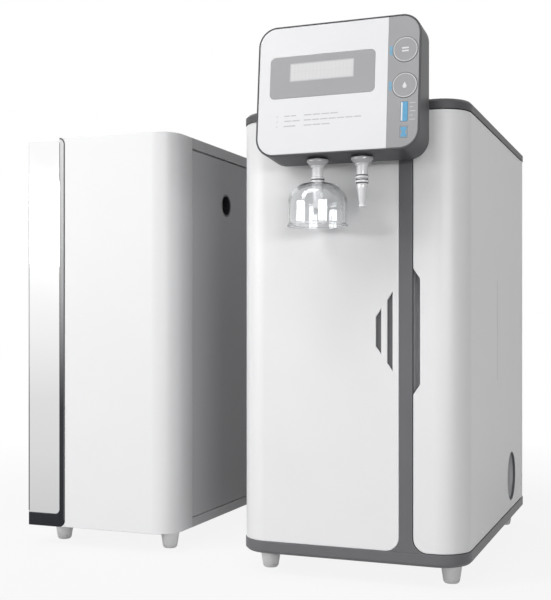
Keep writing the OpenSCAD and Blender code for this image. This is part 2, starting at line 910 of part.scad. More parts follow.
module barb_nozzle() {
  tip_z = stem_tip_z;
  taper_z = neck_end_z - 13;
  bead_h = 2.5;
  color(pale) difference() {
    union() {
      outlet_top(barb_x);
      translate([barb_x, outlet_y, 0]) {
        for (z = [neck_end_z - 3.5, neck_end_z - 8]) {
          translate([0, 0, z]) cylinder(h = ring_h, r = ring_r);
        }
        translate([0, 0, taper_z]) cylinder(h = neck_end_z - taper_z, r = neck_r - 0.4);
        translate([0, 0, tip_z + bead_h])
          cylinder(h = taper_z - tip_z - bead_h, r1 = outlet_bore_r + 1, r2 = neck_r - 0.4);
        translate([0, 0, tip_z]) cylinder(h = bead_h, r = outlet_bore_r + 1.4);
      }
    }
    translate([barb_x, outlet_y, tip_z - 1]) cylinder(h = 2 * past, r = outlet_bore_r);
  }
}

module bell_stem() {
  top_z = neck_end_z - 0.3;
  collar_z = bell_lip_z + bell_h - 6;
  color(pale) translate([bell_x, outlet_y, 0]) difference() {
    union() {
      translate([0, 0, collar_z]) cylinder(h = top_z - collar_z, r = stem_r);
      for (z = [top_z - ring_h, bell_lip_z + bell_h + 0.2]) {
        translate([0, 0, z]) cylinder(h = ring_h, r = ring_r);
      }
      translate([0, 0, stem_tip_z]) cylinder(h = collar_z - stem_tip_z, r1 = 4.2, r2 = stem_r - 1);
    }
    translate([0, 0, neck_end_z - spigot_h - 1])
      cylinder(h = past, r = spigot_r + running_clear);
    translate([0, 0, stem_tip_z - 1])
      cylinder(h = neck_end_z - spigot_h - stem_tip_z + 1, r = outlet_bore_r);
  }
}

// Half section of a dome: flat near the axis, then a quarter ellipse down to the wall and the lip
module bell_profile(r, top, lip_r) {
  flat_r = stem_r + 3;
  drop = 20;
  lip_h = 2;
  steps = 12;
  arc = [for (i = [0 : steps]) let (a = 90 * i / steps)
    [flat_r + (r - flat_r) * sin(a), top - drop * (1 - cos(a))]];
  lip = lip_r > r ? [[r, lip_h], [lip_r, lip_h]] : [];
  polygon(concat([[0, 0], [0, top]], arc, lip, [[lip_r, 0]]));
}

module bell_cover() {
  wall_r = bell_r - 1.2;
  color(pale, 0.5) translate([bell_x, outlet_y, bell_lip_z]) difference() {
    rotate_extrude($fn = 96) bell_profile(wall_r, bell_h, bell_r);
    translate([0, 0, -0.01]) rotate_extrude($fn = 96)
      bell_profile(wall_r - bell_t, bell_h - bell_t, wall_r - bell_t);
    cylinder(h = bell_h + 1, r = stem_r + 0.05);
  }
}

// ---------- inside the dispensing cabinet ----------

module at_cartridge(i) {
  translate([cartridge_x, cartridge_y + i * cartridge_pitch, 0]) children();
}

module cartridge_rack() {
  margin = 5;
  y0 = cartridge_y - cartridge_cap_r - margin;
  depth = 2 * cartridge_pitch + 2 * (cartridge_cap_r + margin);
  rail_z = cartridge_z + cap_h + cartridge_body_h / 2 + 40;
  color(steel) difference() {
    union() {
      translate([rack_x0, y0, floor_z]) cube([rack_t, depth, rail_z + 30 - floor_z]);
      translate([rack_x0, y0, floor_z])
        cube([cartridge_x - rack_x0 + cartridge_cap_r + margin, depth, rack_base_t]);
      translate([rack_x0, y0, rail_z]) cube([cartridge_x - rack_x0, depth, 10]);
    }
    for (i = [0 : 2]) {
      at_cartridge(i) {
        translate([0, 0, cartridge_z]) cylinder(h = past, r = cartridge_cap_r + seat_clear);
        translate([0, 0, rail_z - 1]) cylinder(h = 12, r = cartridge_r + seat_clear);
      }
    }
  }
}

// Closed cylinder with a cap at each end and two stubs on top
module cartridge(body_color) {
  top_cap_z = cartridge_z + cap_h + cartridge_body_h;
  color(body_color) {
    translate([0, 0, cartridge_z + 1]) cylinder(h = top_cap_z + 1 - cartridge_z, r = cartridge_r);
    for (z = [cartridge_z, top_cap_z]) {
      translate([0, 0, z]) cylinder(h = cap_h, r = cartridge_cap_r);
    }
    for (y = [-stub_dy, stub_dy]) {
      translate([0, y, cartridge_top]) cylinder(h = stub_h, r = stub_r);
    }
  }
}

module ro_housing() {
  at_cartridge(0) cartridge(white);
}

module polishing_cartridge_1() {
  at_cartridge(1) cartridge(blue);
}

module polishing_cartridge_2() {
  at_cartridge(2) cartridge(blue);
}

module uv_chamber() {
  shell = 2.5;
  end_t = 4;
  color(steel) difference() {
    union() {
      translate([uv_x, uv_y, uv_z]) cylinder(h = uv_len, r = uv_r);
      translate([uv_stub_x, uv_y, uv_stub_z]) facing_right() cylinder(h = uv_r, r = stub_r);
    }
    translate([uv_x, uv_y, uv_z + end_t]) cylinder(h = uv_len - 2 * end_t, r = uv_r - shell);
    translate([uv_x, uv_y, uv_z - 1]) cylinder(h = uv_len + 2, r = lamp_r + 0.1);
  }
}

module uv_lamp() {
  overhang = 6;
  color("#dfe6ee")
    translate([uv_x, uv_y, uv_z - overhang]) cylinder(h = uv_len + 2 * overhang, r = lamp_r);
}

module at_pump(y) {
  translate([pump_x, y, pump_z]) facing_back() children();
}

module pump_motor() {
  can_t = 3;
  color(dark_grey) difference() {
    at_pump(motor_y0) cylinder(h = motor_y1 - motor_y0, r = motor_r);
    at_pump(motor_y0 + can_t) cylinder(h = motor_y1 - motor_y0 - 2 * can_t, r = motor_r - can_t);
    at_pump(motor_y0 - 1) cylinder(h = past * 2, r = shaft_r + running_clear);
  }
}

module pump_rotor() {
  core_margin = 8;
  color(steel) {
    at_pump(motor_y0 - 2) cylinder(h = motor_y1 - motor_y0 + 22, r = shaft_r);
    at_pump(motor_y0 + core_margin)
      cylinder(h = motor_y1 - motor_y0 - 2 * core_margin, r = motor_r - 8);
    at_pump(motor_y1 + 5) cylinder(h = 12, r = 9);
  }
}

module pump_head() {
  half = 25;
  color(black) difference() {
    translate([pump_x - half, motor_y1, pump_z - half]) cube([2 * half, pump_head_l, 2 * half]);
    at_pump(motor_y1 - 1) cylinder(h = 26, r = 12);
  }
}

module pump_mount() {
  y0 = motor_y0 + 2;
  color(steel) difference() {
    union() {
      translate([pump_x - motor_r - 4, y0, floor_z]) cube([2 * motor_r + 8, motor_y1 - y0 + 40, 4]);
      for (y = [motor_y0 + 8, motor_y1 - 16]) {
        translate([pump_x - motor_r - 4, y, floor_z])
          cube([2 * motor_r + 8, 8, pump_z - floor_z - 6]);
      }
    }
    at_pump(motor_y0 - 1) cylinder(h = motor_y1 - motor_y0 + 2, r = motor_r + 0.1);
  }
}

module valve_body() {
  block_h = 28;
  coil_h = 36;
  color(black) difference() {
    union() {
      translate([valve_x - valve_w / 2, valve_y, valve_z]) cube([valve_w, valve_w, block_h]);
      translate([valve_x, valve_y + valve_w / 2, valve_z + block_h]) cylinder(h = coil_h, r = 13);
    }
    translate([valve_x, valve_y + valve_w / 2, valve_z + block_h - 8])
      cylinder(h = coil_h + 4, r = plunger_r + running_clear);
  }
}

module valve_plunger() {
  color(steel) translate([valve_x, valve_y + valve_w / 2, valve_z + 20.3])
    cylinder(h = 34 - valve_travel, r = plunger_r);
}

module power_supply() {
  supply_t = 38;
  supply_y = 110;
  supply_z = 370;
  color(steel) difference() {
    translate([divider_x - supply_t, supply_y, supply_z]) cube([supply_t, 120, 80]);
    for (row = [0 : 8]) {
      translate([divider_x - supply_t - 1, supply_y + 15, supply_z + 12 + 7 * row])
        cube([3, 90, 3]);
    }
  }
}

module control_board() {
  standoff = 8;
  board_x = divider_x - standoff - board_t;
  y0 = 250;
  z0 = 330;
  w = 130;
  h = 115;
  color("#3f7d58") {
    translate([board_x, y0, z0]) cube([board_t, w, h]);
    for (y = [y0 + 6, y0 + w - 6], z = [z0 + 6, z0 + h - 6]) {
      translate([board_x, y, z]) facing_right() cylinder(h = standoff + board_t, r = 3);
    }
    for (i = [0 : 3]) {
      translate([board_x - 12, y0 + 14 + 28 * i, z0 + 14]) cube([12.5, 16, 18]);
    }
    translate([board_x - 3, y0 + 50, z0 + 60]) cube([3.5, 26, 26]);
    for (i = [0 : 2]) {
      translate([board_x - 14, y0 + 95, z0 + 50 + 20 * i]) facing_right() cylinder(h = 14.5, r = 6);
    }
  }
}

// Tube that joins the outlet stub of one cartridge to the inlet stub of the next
module cartridge_link(i) {
  y0 = cartridge_y + i * cartridge_pitch + stub_dy;
  y1 = cartridge_y + (i + 1) * cartridge_pitch - stub_dy;
  top = stub_top + link_rise;
  pipe([[cartridge_x, y0, stub_top], [cartridge_x, y0, top],
        [cartridge_x, y1, top], [cartridge_x, y1, stub_top]], tube_r);
}

module internal_tubing() {
  last_y = cartridge_y + 2 * cartridge_pitch + stub_dy;
  drop_y = 240;
  pump_top = pump_z + 25;
  rise_z = uv_stub_z;
  tank_y0_in = cartridge_y - stub_dy;
  inside_y = back_in - port_nut;
  color(white) {
    for (i = [0 : 1]) {
      cartridge_link(i);
    }
    // Polished water to the barbed outlet
    pipe([[barb_x, outlet_y, neck_top_z], [barb_x, outlet_y, crossing_z],
          [barb_x, last_y, crossing_z], [cartridge_x, last_y, crossing_z],
          [cartridge_x, last_y, stub_top]], tube_r);
    // Purified water from the valve to the bell outlet
    pipe([[bell_x, outlet_y, neck_top_z], [bell_x, outlet_y, crossing_z],
          [bell_x, drop_y, crossing_z], [bell_x, drop_y, valve_tube_z],
          [bell_x, valve_y, valve_tube_z]], tube_r);
    // Feed water to the pump, and from the pump to the ultraviolet chamber
    pipe([[feed_port[0], motor_y1 + pump_head_l, feed_port[1]],
          [feed_port[0], inside_y, feed_port[1]]], tube_r);
    pipe([[pump_outlet_x, motor_y1 + 35, pump_top], [pump_outlet_x, motor_y1 + 35, rise_z],
          [pump_outlet_x, uv_y, rise_z], [uv_stub_x, uv_y, rise_z]], tube_r);
    // Drain, and the line to the storage tank
    pipe([[drain_port[0], valve_y + valve_w, drain_port[1]],
          [drain_port[0], inside_y, drain_port[1]]], tube_r);
    pipe([[cartridge_x, tank_y0_in, stub_top], [cartridge_x, tank_y0_in, tank_port[1]],
          [tank_port[0], tank_y0_in, tank_port[1]], [tank_port[0], inside_y, tank_port[1]]], tube_r);
  }
}

// ---------- rear of the dispensing cabinet ----------

module rear_port() {
  end_wall = 2;
  difference() {
    union() {
      translate([0, 0, back_in - port_nut]) cylinder(h = port_nut, r = port_nut_r);
      translate([0, 0, back_in - port_nut])
        cylinder(h = port_nut + skin_t + port_collar_t, r = port_shank_r);
      translate([0, 0, back_out]) cylinder(h = port_collar_t, r = port_collar_r);
      translate([0, 0, back_out]) cylinder(h = port_len, r = barb_port_r);
    }
    translate([0, 0, back_in - port_nut + end_wall]) cylinder(h = 2 * past, r = port_bore_r);
  }
}

module rear_ports() {
  color(black) for (p = [feed_port, drain_port, tank_port]) {
    translate([p[0], 0, p[1]]) facing_back() rear_port();
  }
}

rocker_w = 12.2;
rocker_gap = 0.5;
rocker_pin_r = 1.5;
rocker_pin_reach = 1.2;
rocker_y = back_out + 1;

module at_rocker() {
  translate([inlet_x, rocker_y, inlet_z + rocker_dz]) children();
}

module power_inlet() {
  flange_half_w = 16.5;
  flange_half_h = 28;
  flange_t = 2.5;
  body_d = 22;
  socket_half_w = 12;
  socket_half_h = 8.2;
  socket_d = 14;
  well_half_h = 9.7;
  well_d = 10;
  blade_pitch = 7;
  color(black) {
    difference() {
      union() {
        translate([inlet_x - flange_half_w, back_out, inlet_z - flange_half_h])
          cube([2 * flange_half_w, flange_t, 2 * flange_half_h]);
        translate([inlet_x - inlet_half_w, back_in - body_d, inlet_z - inlet_half_h])
          cube([2 * inlet_half_w, body_d + skin_t + 1, 2 * inlet_half_h]);
      }
      translate([inlet_x - socket_half_w, back_out - socket_d, inlet_z + socket_dz - socket_half_h])
        cube([2 * socket_half_w, past, 2 * socket_half_h]);
      at_rocker() {
        translate([-rocker_w / 2 - rocker_gap, -well_d, -well_half_h])
          cube([rocker_w + 2 * rocker_gap, past, 2 * well_half_h]);
        translate([-rocker_w / 2 - 2, 0, 0]) facing_right()
          cylinder(h = rocker_w + 4, r = rocker_pin_r + running_clear);
      }
    }
    // Three blades of the socket
    for (x = [-blade_pitch, 0, blade_pitch]) {
      translate([inlet_x + x - 1, back_out - socket_d - 0.5, inlet_z + socket_dz - 0.5])
        cube([2, 11, 4]);
    }
  }
}

module power_rocker() {
  half_h = 8;
  color(black) at_rocker() {
    rotate([rocker_rest, 0, 0]) {
      translate([-rocker_w / 2, 0, 0]) rotate([90, 0, 90]) linear_extrude(rocker_w)
        polygon([[-3.5, -half_h], [2, -half_h], [3.4, 0], [2, half_h], [-3.5, half_h]]);
      translate([-rocker_w / 2 - rocker_gap - rocker_pin_reach, 0, 0]) facing_right()
        cylinder(h = rocker_w + 2 * (rocker_gap + rocker_pin_reach), r = rocker_pin_r);
    }
  }
}

// ---------- pretreatment cabinet ----------

// Outline of the cabinet from above: square at the front left, rounded at the other corners
module left_outline(inset) {
  w = left_w - 2 * inset;
  d = cabinet_d - 2 * inset;
  r = left_corner_r - inset;
  translate([left_x0 + inset, left_y0 + inset]) {
    rounded_rect(w, d, r);
    square([r, r]);
  }
}

module left_ring() {
  difference() {
    left_outline(0);
    left_outline(skin_t);
  }
}

// Plan area of the front shell and the strip carrier, grown so that other pieces clear it
module left_front_area(grow) {
  intersection() {
    difference() {
      left_outline(0);
      left_outline(skin_t + grow);
    }
    translate([left_x0 + carrier_w, left_y0 - 1]) square([left_w, wrap_y + 1 + grow]);
  }
  translate([left_x0 - 1, left_y0 - 5]) square([carrier_w + 1 + grow, carrier_d + 5 + grow]);
}

module left_tray_plan(inset) {
  difference() {
    left_outline(inset);
    left_front_area(0.1 + (inset > 0 ? rim_w : 0));
  }
}

module left_tray(h) {
  difference() {
    linear_extrude(h) left_tray_plan(0);
    translate([0, 0, plate_t]) linear_extrude(h) left_tray_plan(rim_w);
  }
}

module left_base_pan() {
  color(white) translate([0, 0, foot_h]) left_tray(left_pan_z1 - foot_h);
}

module left_top_cap() {
  color(white) translate([0, 0, left_h]) mirror([0, 0, 1]) left_tray(left_h - left_cap_z0);
}

module left_feet() {
  color(pale) at_corners(left_x0 + foot_inset_x, left_x1 - foot_inset_x,
                         left_y0 + foot_inset_y, left_y1 - foot_inset_y) foot();
}

module left_front_shell() {
  color(white) translate([0, 0, foot_h]) linear_extrude(left_h - foot_h) intersection() {
    left_ring();
    translate([left_x0 + carrier_w + skin_gap, left_y0 - 1]) square([left_w, wrap_y + 1]);
  }
}

module left_side_panel() {
  color(white) difference() {
    translate([0, 0, left_panel_z0]) linear_extrude(left_panel_z1 - left_panel_z0) intersection() {
      left_ring();
      translate([left_x1 - past, left_y0 + wrap_y + skin_gap])
        square([2 * past, left_split_y - left_y0 - wrap_y - 2 * skin_gap]);
    }
    translate([left_x1 - past, left_y0 + port_y, port_z]) facing_right()
      cylinder(h = 2 * past, r = port_r + port_ring_t + 0.05);
  }
}

module left_rear_shell() {
  color(white) translate([0, 0, left_panel_z0]) linear_extrude(left_panel_z1 - left_panel_z0)
    intersection() {
      left_ring();
      union() {
        translate([left_x0 - 1, left_y0 + carrier_d + skin_gap]) square([past, cabinet_d]);
        translate([left_x0 - 1, left_split_y]) square([left_w + 2, cabinet_d]);
      }
    }
}

module side_port_ring() {
  ring_len = 10;
  lip_t = 1.5;
  color(black) translate([0, left_y0 + port_y, port_z]) difference() {
    union() {
      translate([left_x1 - ring_len, 0, 0]) facing_right()
        cylinder(h = ring_len - 0.2, r = port_r + port_ring_t);
      translate([left_x1 - skin_t - lip_t, 0, 0]) facing_right()
        cylinder(h = lip_t, r = port_r + port_ring_t + 3);
    }
    translate([left_x1 - 2 * ring_len, 0, 0]) facing_right() cylinder(h = 3 * ring_len, r = port_r);
  }
}

// Front view outline of the mirror strip, rounded at its free corners
module mirror_outline(grow) {
  radius = 6 + grow;
  intersection() {
    translate([left_x0 - past, mirror_z0 - grow])
      rounded_rect(past + mirror_w + grow, mirror_z1 - mirror_z0 + 2 * grow, radius);
    translate([left_x0, 0]) square([left_w, 2 * left_h]);
  }
}

module strip_carrier() {
  front = left_y0 - strip_proud;
  color(black) difference() {
    translate([left_x0, 0, foot_h]) linear_extrude(left_h - foot_h)
      polygon([[0, front], [mirror_w + 0.3, front], [carrier_w, left_y0 + 1.5],
               [carrier_w, left_y0 + carrier_d], [0, left_y0 + carrier_d]]);
    along_y(front - 1, front + mirror_t) mirror_outline(0.1);
  }
}

module mirror_strip() {
  front = left_y0 - strip_proud;
  color(steel) along_y(front, front + mirror_t) mirror_outline(0);
}

module prefilter_bracket() {
  post_t = 3;
  post_x = filter_x - 46;
  shelf_w = 84;
  shelf_t = 6;
  y0 = filter_y - prefilter_pitch / 2;
  depth = 3 * prefilter_pitch;
  color(steel) difference() {
    union() {
      translate([post_x, y0, floor_z]) cube([post_t, depth, shelf_z + shelf_t - floor_z]);
      translate([post_x, y0, shelf_z]) cube([shelf_w, depth, shelf_t]);
      translate([post_x, y0, floor_z]) cube([shelf_w, depth, post_t]);
    }
    for (i = [0 : 2]) {
      translate([filter_x, filter_y + i * prefilter_pitch, shelf_z - 1])
        cylinder(h = shelf_t + 2, r = filter_neck_r + 0.5);
    }
  }
}

module prefilter(i, bowl_color) {
  color(bowl_color) translate([filter_x, filter_y + i * prefilter_pitch, 0]) {
    translate([0, 0, shelf_z - filter_head_h]) cylinder(h = filter_head_h, r = bowl_r + 3);
    translate([0, 0, shelf_z]) cylinder(h = 10, r = filter_neck_r);
    translate([0, 0, shelf_z - filter_head_h - bowl_h]) cylinder(h = bowl_h, r = bowl_r);
    translate([0, 0, shelf_z - filter_head_h - bowl_h]) sphere(r = bowl_r);
  }
}

module sediment_filter() {
  prefilter(0, white);
}

module carbon_filter() {
  prefilter(1, black);
}

module softener_filter() {
  prefilter(2, blue);
}

module storage_tank() {
  wall = 3;
  r = 18;
  shoulder = 5;
  color(white) translate([tank_x0, tank_y0, floor_z]) difference() {
    union() {
      linear_extrude(tank_h) rounded_rect(tank_w, tank_d, r);
      translate([tank_w / 2, tank_d / 2, tank_h]) cylinder(h = tank_neck_h, r = tank_neck_r);
    }
    translate([wall, wall, wall]) linear_extrude(tank_h - 2 * wall)
      rounded_rect(tank_w - 2 * wall, tank_d - 2 * wall, r - wall);
    translate([tank_w / 2, tank_d / 2, tank_h - shoulder])
      cylinder(h = past, r = tank_neck_r - wall);
  }
}

module tank_cap() {
  cap_t = 3;
  color(blue) translate([tank_x0 + tank_w / 2, tank_y0 + tank_d / 2, floor_z + tank_h])
    difference() {
      cylinder(h = tank_neck_h + cap_t, r = tank_neck_r + cap_t);
      translate([0, 0, -1]) cylinder(h = tank_neck_h + 1, r = tank_neck_r + 0.1);
    }
}

// ---------- nodes ----------

place() main_base_pan();
place() main_feet();
place() main_left_shell();
place() main_mullion();
place() side_cover();
place() side_cover_cup();
place() main_back_panel();
place() main_top_lid();
place() main_divider();
place() hinge_pins();
place() cover_magnet();
place() cover_striker();
place() head_housing();
place() head_back_plate();
place() face_plate();
place() button_panel();
place() display_window();
place() lcd_module();
place() head_board();
place() button_upper();
place() button_lower();
place() status_lights();
place() head_bracket();
place() bell_nozzle();
place() barb_nozzle();
place() bell_stem();
place() bell_cover();
place() cartridge_rack();
place() polishing_cartridge_1();
place() polishing_cartridge_2();
place() ro_housing();
place() uv_chamber();
place() uv_lamp();
place() pump_motor();
place() pump_head();
place() pump_rotor();
place() pump_mount();
place() valve_body();
place() valve_plunger();
place() power_supply();
place() control_board();
place() internal_tubing();
place() rear_ports();
place() power_inlet();
place() power_rocker();
place() left_base_pan();
place() left_feet();
place() left_front_shell();
place() left_rear_shell();
place() left_side_panel();
place() left_top_cap();
place() strip_carrier();
place() mirror_strip();
place() side_port_ring();
place() prefilter_bracket();
place() sediment_filter();
place() carbon_filter();
place() softener_filter();
place() storage_tank();
place() tank_cap();
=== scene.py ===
"""Looks of an ultrapure water system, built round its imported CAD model.

Sizes are in millimetres in the cabinets' own frame: X from the dispensing cabinet's left side, Y from its
front plane, Z from the bench. at() turns them into metres in the shared frame.
"""
import json
import logging
import math
from dataclasses import dataclass, field
from enum import Enum
from typing import Mapping, Sequence

import bmesh
import bpy
from mathutils import Matrix, Vector


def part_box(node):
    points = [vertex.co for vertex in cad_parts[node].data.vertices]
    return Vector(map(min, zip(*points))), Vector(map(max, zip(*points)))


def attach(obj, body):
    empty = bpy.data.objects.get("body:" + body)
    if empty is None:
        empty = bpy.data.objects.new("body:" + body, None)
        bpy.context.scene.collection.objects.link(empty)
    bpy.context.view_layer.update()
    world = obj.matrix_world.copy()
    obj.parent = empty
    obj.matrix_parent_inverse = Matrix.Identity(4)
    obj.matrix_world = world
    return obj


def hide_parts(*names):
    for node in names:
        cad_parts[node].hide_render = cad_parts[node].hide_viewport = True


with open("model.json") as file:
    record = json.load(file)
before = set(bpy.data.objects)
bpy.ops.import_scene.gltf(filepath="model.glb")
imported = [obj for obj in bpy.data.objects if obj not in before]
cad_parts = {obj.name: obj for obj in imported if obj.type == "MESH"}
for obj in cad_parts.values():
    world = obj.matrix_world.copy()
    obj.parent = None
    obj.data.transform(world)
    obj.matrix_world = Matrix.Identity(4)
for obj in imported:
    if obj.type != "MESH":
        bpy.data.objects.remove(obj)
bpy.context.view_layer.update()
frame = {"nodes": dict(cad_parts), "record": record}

LOG = logging.getLogger("water_system")
MM = 0.001
# The shared frame's origin in the cabinets' frame.
ORIGIN_X, ORIGIN_Y = -24.25, 205.3
# The lower left corner of the control head's face, and the face's lean in degrees.
HEAD_X, HEAD_REACH, HEAD_Z = 46.0, 58.0, 446.0
HEAD_TILT = 5.3
BODY_OF = {node: body for body, nodes in frame["record"]["behaviour"]["bodies"].items() for node in nodes}

Point = tuple[float, float]
Corner = tuple[float, float, float]
Tree, Node, Socket = bpy.types.NodeTree, bpy.types.Node, bpy.types.NodeSocket
Mesh, Material, Piece = bpy.types.Mesh, bpy.types.Material, bpy.types.Object


class Axis(Enum):
    """Direction that a turned or repeated shape's own Z axis points in."""

    UP = "up"
    BACK = "back"
    RIGHT = "right"
    FACE = "face"


# ---------- places ----------

def at(x: float, y: float, z: float) -> Vector:
    """Turns a place in the cabinets' frame into the shared frame.

    Args:
        x: Millimetres from the dispensing cabinet's left side.
        y: Millimetres behind its front plane.
        z: Millimetres above the bench.

    Returns:
        The place in metres in the shared frame.
    """
    return Vector(((x - ORIGIN_X) * MM, (y - ORIGIN_Y) * MM, z * MM))


def seat(x: float, y: float, z: float, axis: Axis = Axis.UP, spin: float = 0.0) -> Matrix:
    """Gives the matrix that seats a shape drawn in millimetres.

    Args:
        x: Place of the shape's origin.
        y: Place of the shape's origin.
        z: Place of the shape's origin.
        axis: Direction that the shape's own Z axis takes.
        spin: Turn about that axis, in degrees.

    Returns:
        The matrix from the shape's millimetres to the shared frame's metres.
    """
    turns = {
        Axis.UP: Matrix.Identity(4),
        Axis.BACK: Matrix.Rotation(math.radians(-90), 4, "X"),
        Axis.RIGHT: Matrix.Rotation(math.radians(90), 4, "Y"),
        Axis.FACE: Matrix.Rotation(math.radians(90 - HEAD_TILT), 4, "X"),
    }
    turn = turns[axis] @ Matrix.Rotation(math.radians(spin), 4, "Z")
    return Matrix.Translation(at(x, y, z)) @ turn @ Matrix.Scale(MM, 4)


def on_face(x: float, y: float, out: float = 0.0) -> Matrix:
    """Seats a shape on the control head's face.

    Args:
        x: Millimetres from the head's left side.
        y: Millimetres up the face.
        out: Millimetres out of the face.

    Returns:
        The matrix from the shape's millimetres to the shared frame's metres.
    """
    return seat(HEAD_X, -HEAD_REACH, HEAD_Z, Axis.FACE) @ Matrix.Translation((x, y, out))


def stand(node: str, lift: float = 0.0) -> Matrix:
    """Stands a shape drawn in millimetres on the middle of a CAD node's box.

    Args:
        node: CAD node.
        lift: Millimetres above the box's lowest side.

    Returns:
        The matrix from the shape's millimetres to the shared frame's metres.
    """
    low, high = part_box(node)
    middle = (low + high) / 2
    return Matrix.Translation((middle.x, middle.y, low.z + lift * MM)) @ Matrix.Scale(MM, 4)


# ---------- finishes ----------

# Roughness of a clear hard skin.
COAT_ROUGHNESS = 0.06


def srgb(code: str) -> tuple[float, float, float, float]:
    """Turns an sRGB hex value into linear colour.

    Args:
        code: Six hex digits after a hash.

    Returns:
        Red, green, blue and alpha, linear.
    """
    def linear(value: float) -> float:
        """Turns one sRGB channel linear."""
        return value / 12.92 if value <= 0.04045 else ((value + 0.055) / 1.055) ** 2.4

    red, green, blue = (linear(int(code[i : i + 2], 16) / 255) for i in (1, 3, 5))
    return red, green, blue, 1.0


def add_node(tree: Tree, kind: str, settings: Mapping | None = None, inputs: Mapping | None = None) -> Node:
    """Adds a node, sets it and links what feeds it.

    Args:
        tree: Node tree that takes the node.
        kind: Blender's type name of the node.
        settings: Values of the node's own properties.
        inputs: A value or an output socket for each input, by name or number.

    Returns:
        The new node.
    """
    node = tree.nodes.new(kind)
    for name, value in (settings or {}).items():
        setattr(node, name, value)
    feed(tree, node, inputs or {})
    return node


def feed(tree: Tree, node: Node, inputs: Mapping) -> None:
    """Sets or links a node's inputs.

    Args:
        tree: Node tree that holds the node.
        node: The node.
        inputs: A value or an output socket for each input, by name or number.
    """
    for key, value in inputs.items():
        if isinstance(value, Socket):
            tree.links.new(value, node.inputs[key])
        else:
            node.inputs[key].default_value = value


def noise(tree: Tree, size_mm: float, detail: float = 2.0, stretch: Sequence[float] = (1, 1, 1)) -> Socket:
    """Adds a noise pattern on Object coordinates.

    Args:
        tree: Node tree of the material.
        size_mm: Size of one blot of the pattern on the real surface.
        detail: Number of finer octaves.
        stretch: Scale along each axis; a small number draws the blots out along it.

    Returns:
        The pattern's output, from 0 to 1.
    """
    place = add_node(tree, "ShaderNodeTexCoord")
    turned = add_node(tree, "ShaderNodeMapping", inputs={"Vector": place.outputs["Object"], "Scale": stretch})
    cloud = add_node(tree, "ShaderNodeTexNoise",
                     inputs={"Vector": turned.outputs[0], "Scale": 1 / (size_mm * MM), "Detail": detail})
    return cloud.outputs["Fac"]


def span(low: float, high: float, start: float = 0.3, end: float = 0.7) -> dict[str, float]:
    """Names a Map Range node's limits.

    Args:
        low: Result at start.
        high: Result at end.
        start: Lower end of the pattern's range.
        end: Upper end of the pattern's range.

    Returns:
        The value of each input.
    """
    return {"From Min": start, "From Max": end, "To Min": low, "To Max": high}


def height_ramp(tree: Tree, stops: Sequence[tuple[float, str]]) -> Socket:
    """Colours a surface by its height above the bench.

    Args:
        tree: Node tree of the material.
        stops: Heights in millimetres, from low to high, each with its sRGB hex value.

    Returns:
        The colour's output.
    """
    place = add_node(tree, "ShaderNodeTexCoord")
    split = add_node(tree, "ShaderNodeSeparateXYZ", inputs={0: place.outputs["Object"]})
    low, high = stops[0][0], stops[-1][0]
    share = add_node(tree, "ShaderNodeMapRange",
                     inputs={"Value": split.outputs["Z"], **span(0, 1, low * MM, high * MM)})
    ramp = add_node(tree, "ShaderNodeValToRGB", inputs={0: share.outputs[0]})
    elements = ramp.color_ramp.elements
    for spot, (height, code) in enumerate(stops):
        where = (height - low) / (high - low)
        element = elements[spot] if spot < 2 else elements.new(where)
        element.position = where
        element.color = srgb(code)
    return ramp.outputs["Color"]


@dataclass(frozen=True)
class Finish:
    """A real material and how its surface was made.

    The pattern sizes are in millimetres on the real surface.
    """

    title: str
    colour: str
    shade: str = ""
    mottle: float = 60.0
    roughness: float = 0.4
    vary: float = 0.04
    metallic: float = 0.0
    ior: float = 1.5
    grain: float = 0.0
    depth: float = 0.0
    coat: float = 0.0
    stretch: tuple[float, float, float] = (1, 1, 1)

    def material(self) -> Material:
        """Gives the finish's material, which is made once."""
        found = bpy.data.materials.get(self.title)
        if found:
            return found
        made = bpy.data.materials.new(self.title)
        made.use_nodes = True
        tree = made.node_tree
        tree.nodes.clear()
        shader = add_node(tree, "ShaderNodeBsdfPrincipled", inputs={
            "Base Color": srgb(self.colour), "Roughness": self.roughness, "Metallic": self.metallic})
        if self.metallic < 1:
            feed(tree, shader, {"IOR": self.ior})
        if self.coat:
            feed(tree, shader, {"Coat Weight": self.coat, "Coat Roughness": COAT_ROUGHNESS})
        self.dress(tree, shader)
        add_node(tree, "ShaderNodeOutputMaterial", inputs={"Surface": shader.outputs[0]})
        return made

    def dress(self, tree: Tree, shader: Node) -> None:
        """Adds the mottling, the uneven gloss and the grain.

        Args:
            tree: Node tree of the material.
            shader: The Principled shader that takes them.
        """
        cloud = noise(tree, self.mottle, 3.0, self.stretch)
        gloss = add_node(tree, "ShaderNodeMapRange", inputs={
            "Value": cloud, **span(self.roughness - self.vary, self.roughness + self.vary)})
        feed(tree, shader, {"Base Color": self.tone(tree, cloud), "Roughness": gloss.outputs[0]})
        if self.grain:
            bump = add_node(tree, "ShaderNodeBump", inputs={
                "Distance": self.depth * MM, "Height": noise(tree, self.grain, 2.0, self.stretch)})
            feed(tree, shader, {"Normal": bump.outputs[0]})

    def tone(self, tree: Tree, cloud: Socket) -> Socket:
        """Gives the surface's colour.

        Args:
            tree: Node tree of the material.
            cloud: Output of the mottling.

        Returns:
            The colour's output.
        """
        share = add_node(tree, "ShaderNodeMapRange", inputs={"Value": cloud, **span(0, 1)})
        return add_node(tree, "ShaderNodeMix", {"data_type": "RGBA"}, {
            0: share.outputs[0], 6: srgb(self.shade or self.colour), 7: srgb(self.colour)}).outputs[2]


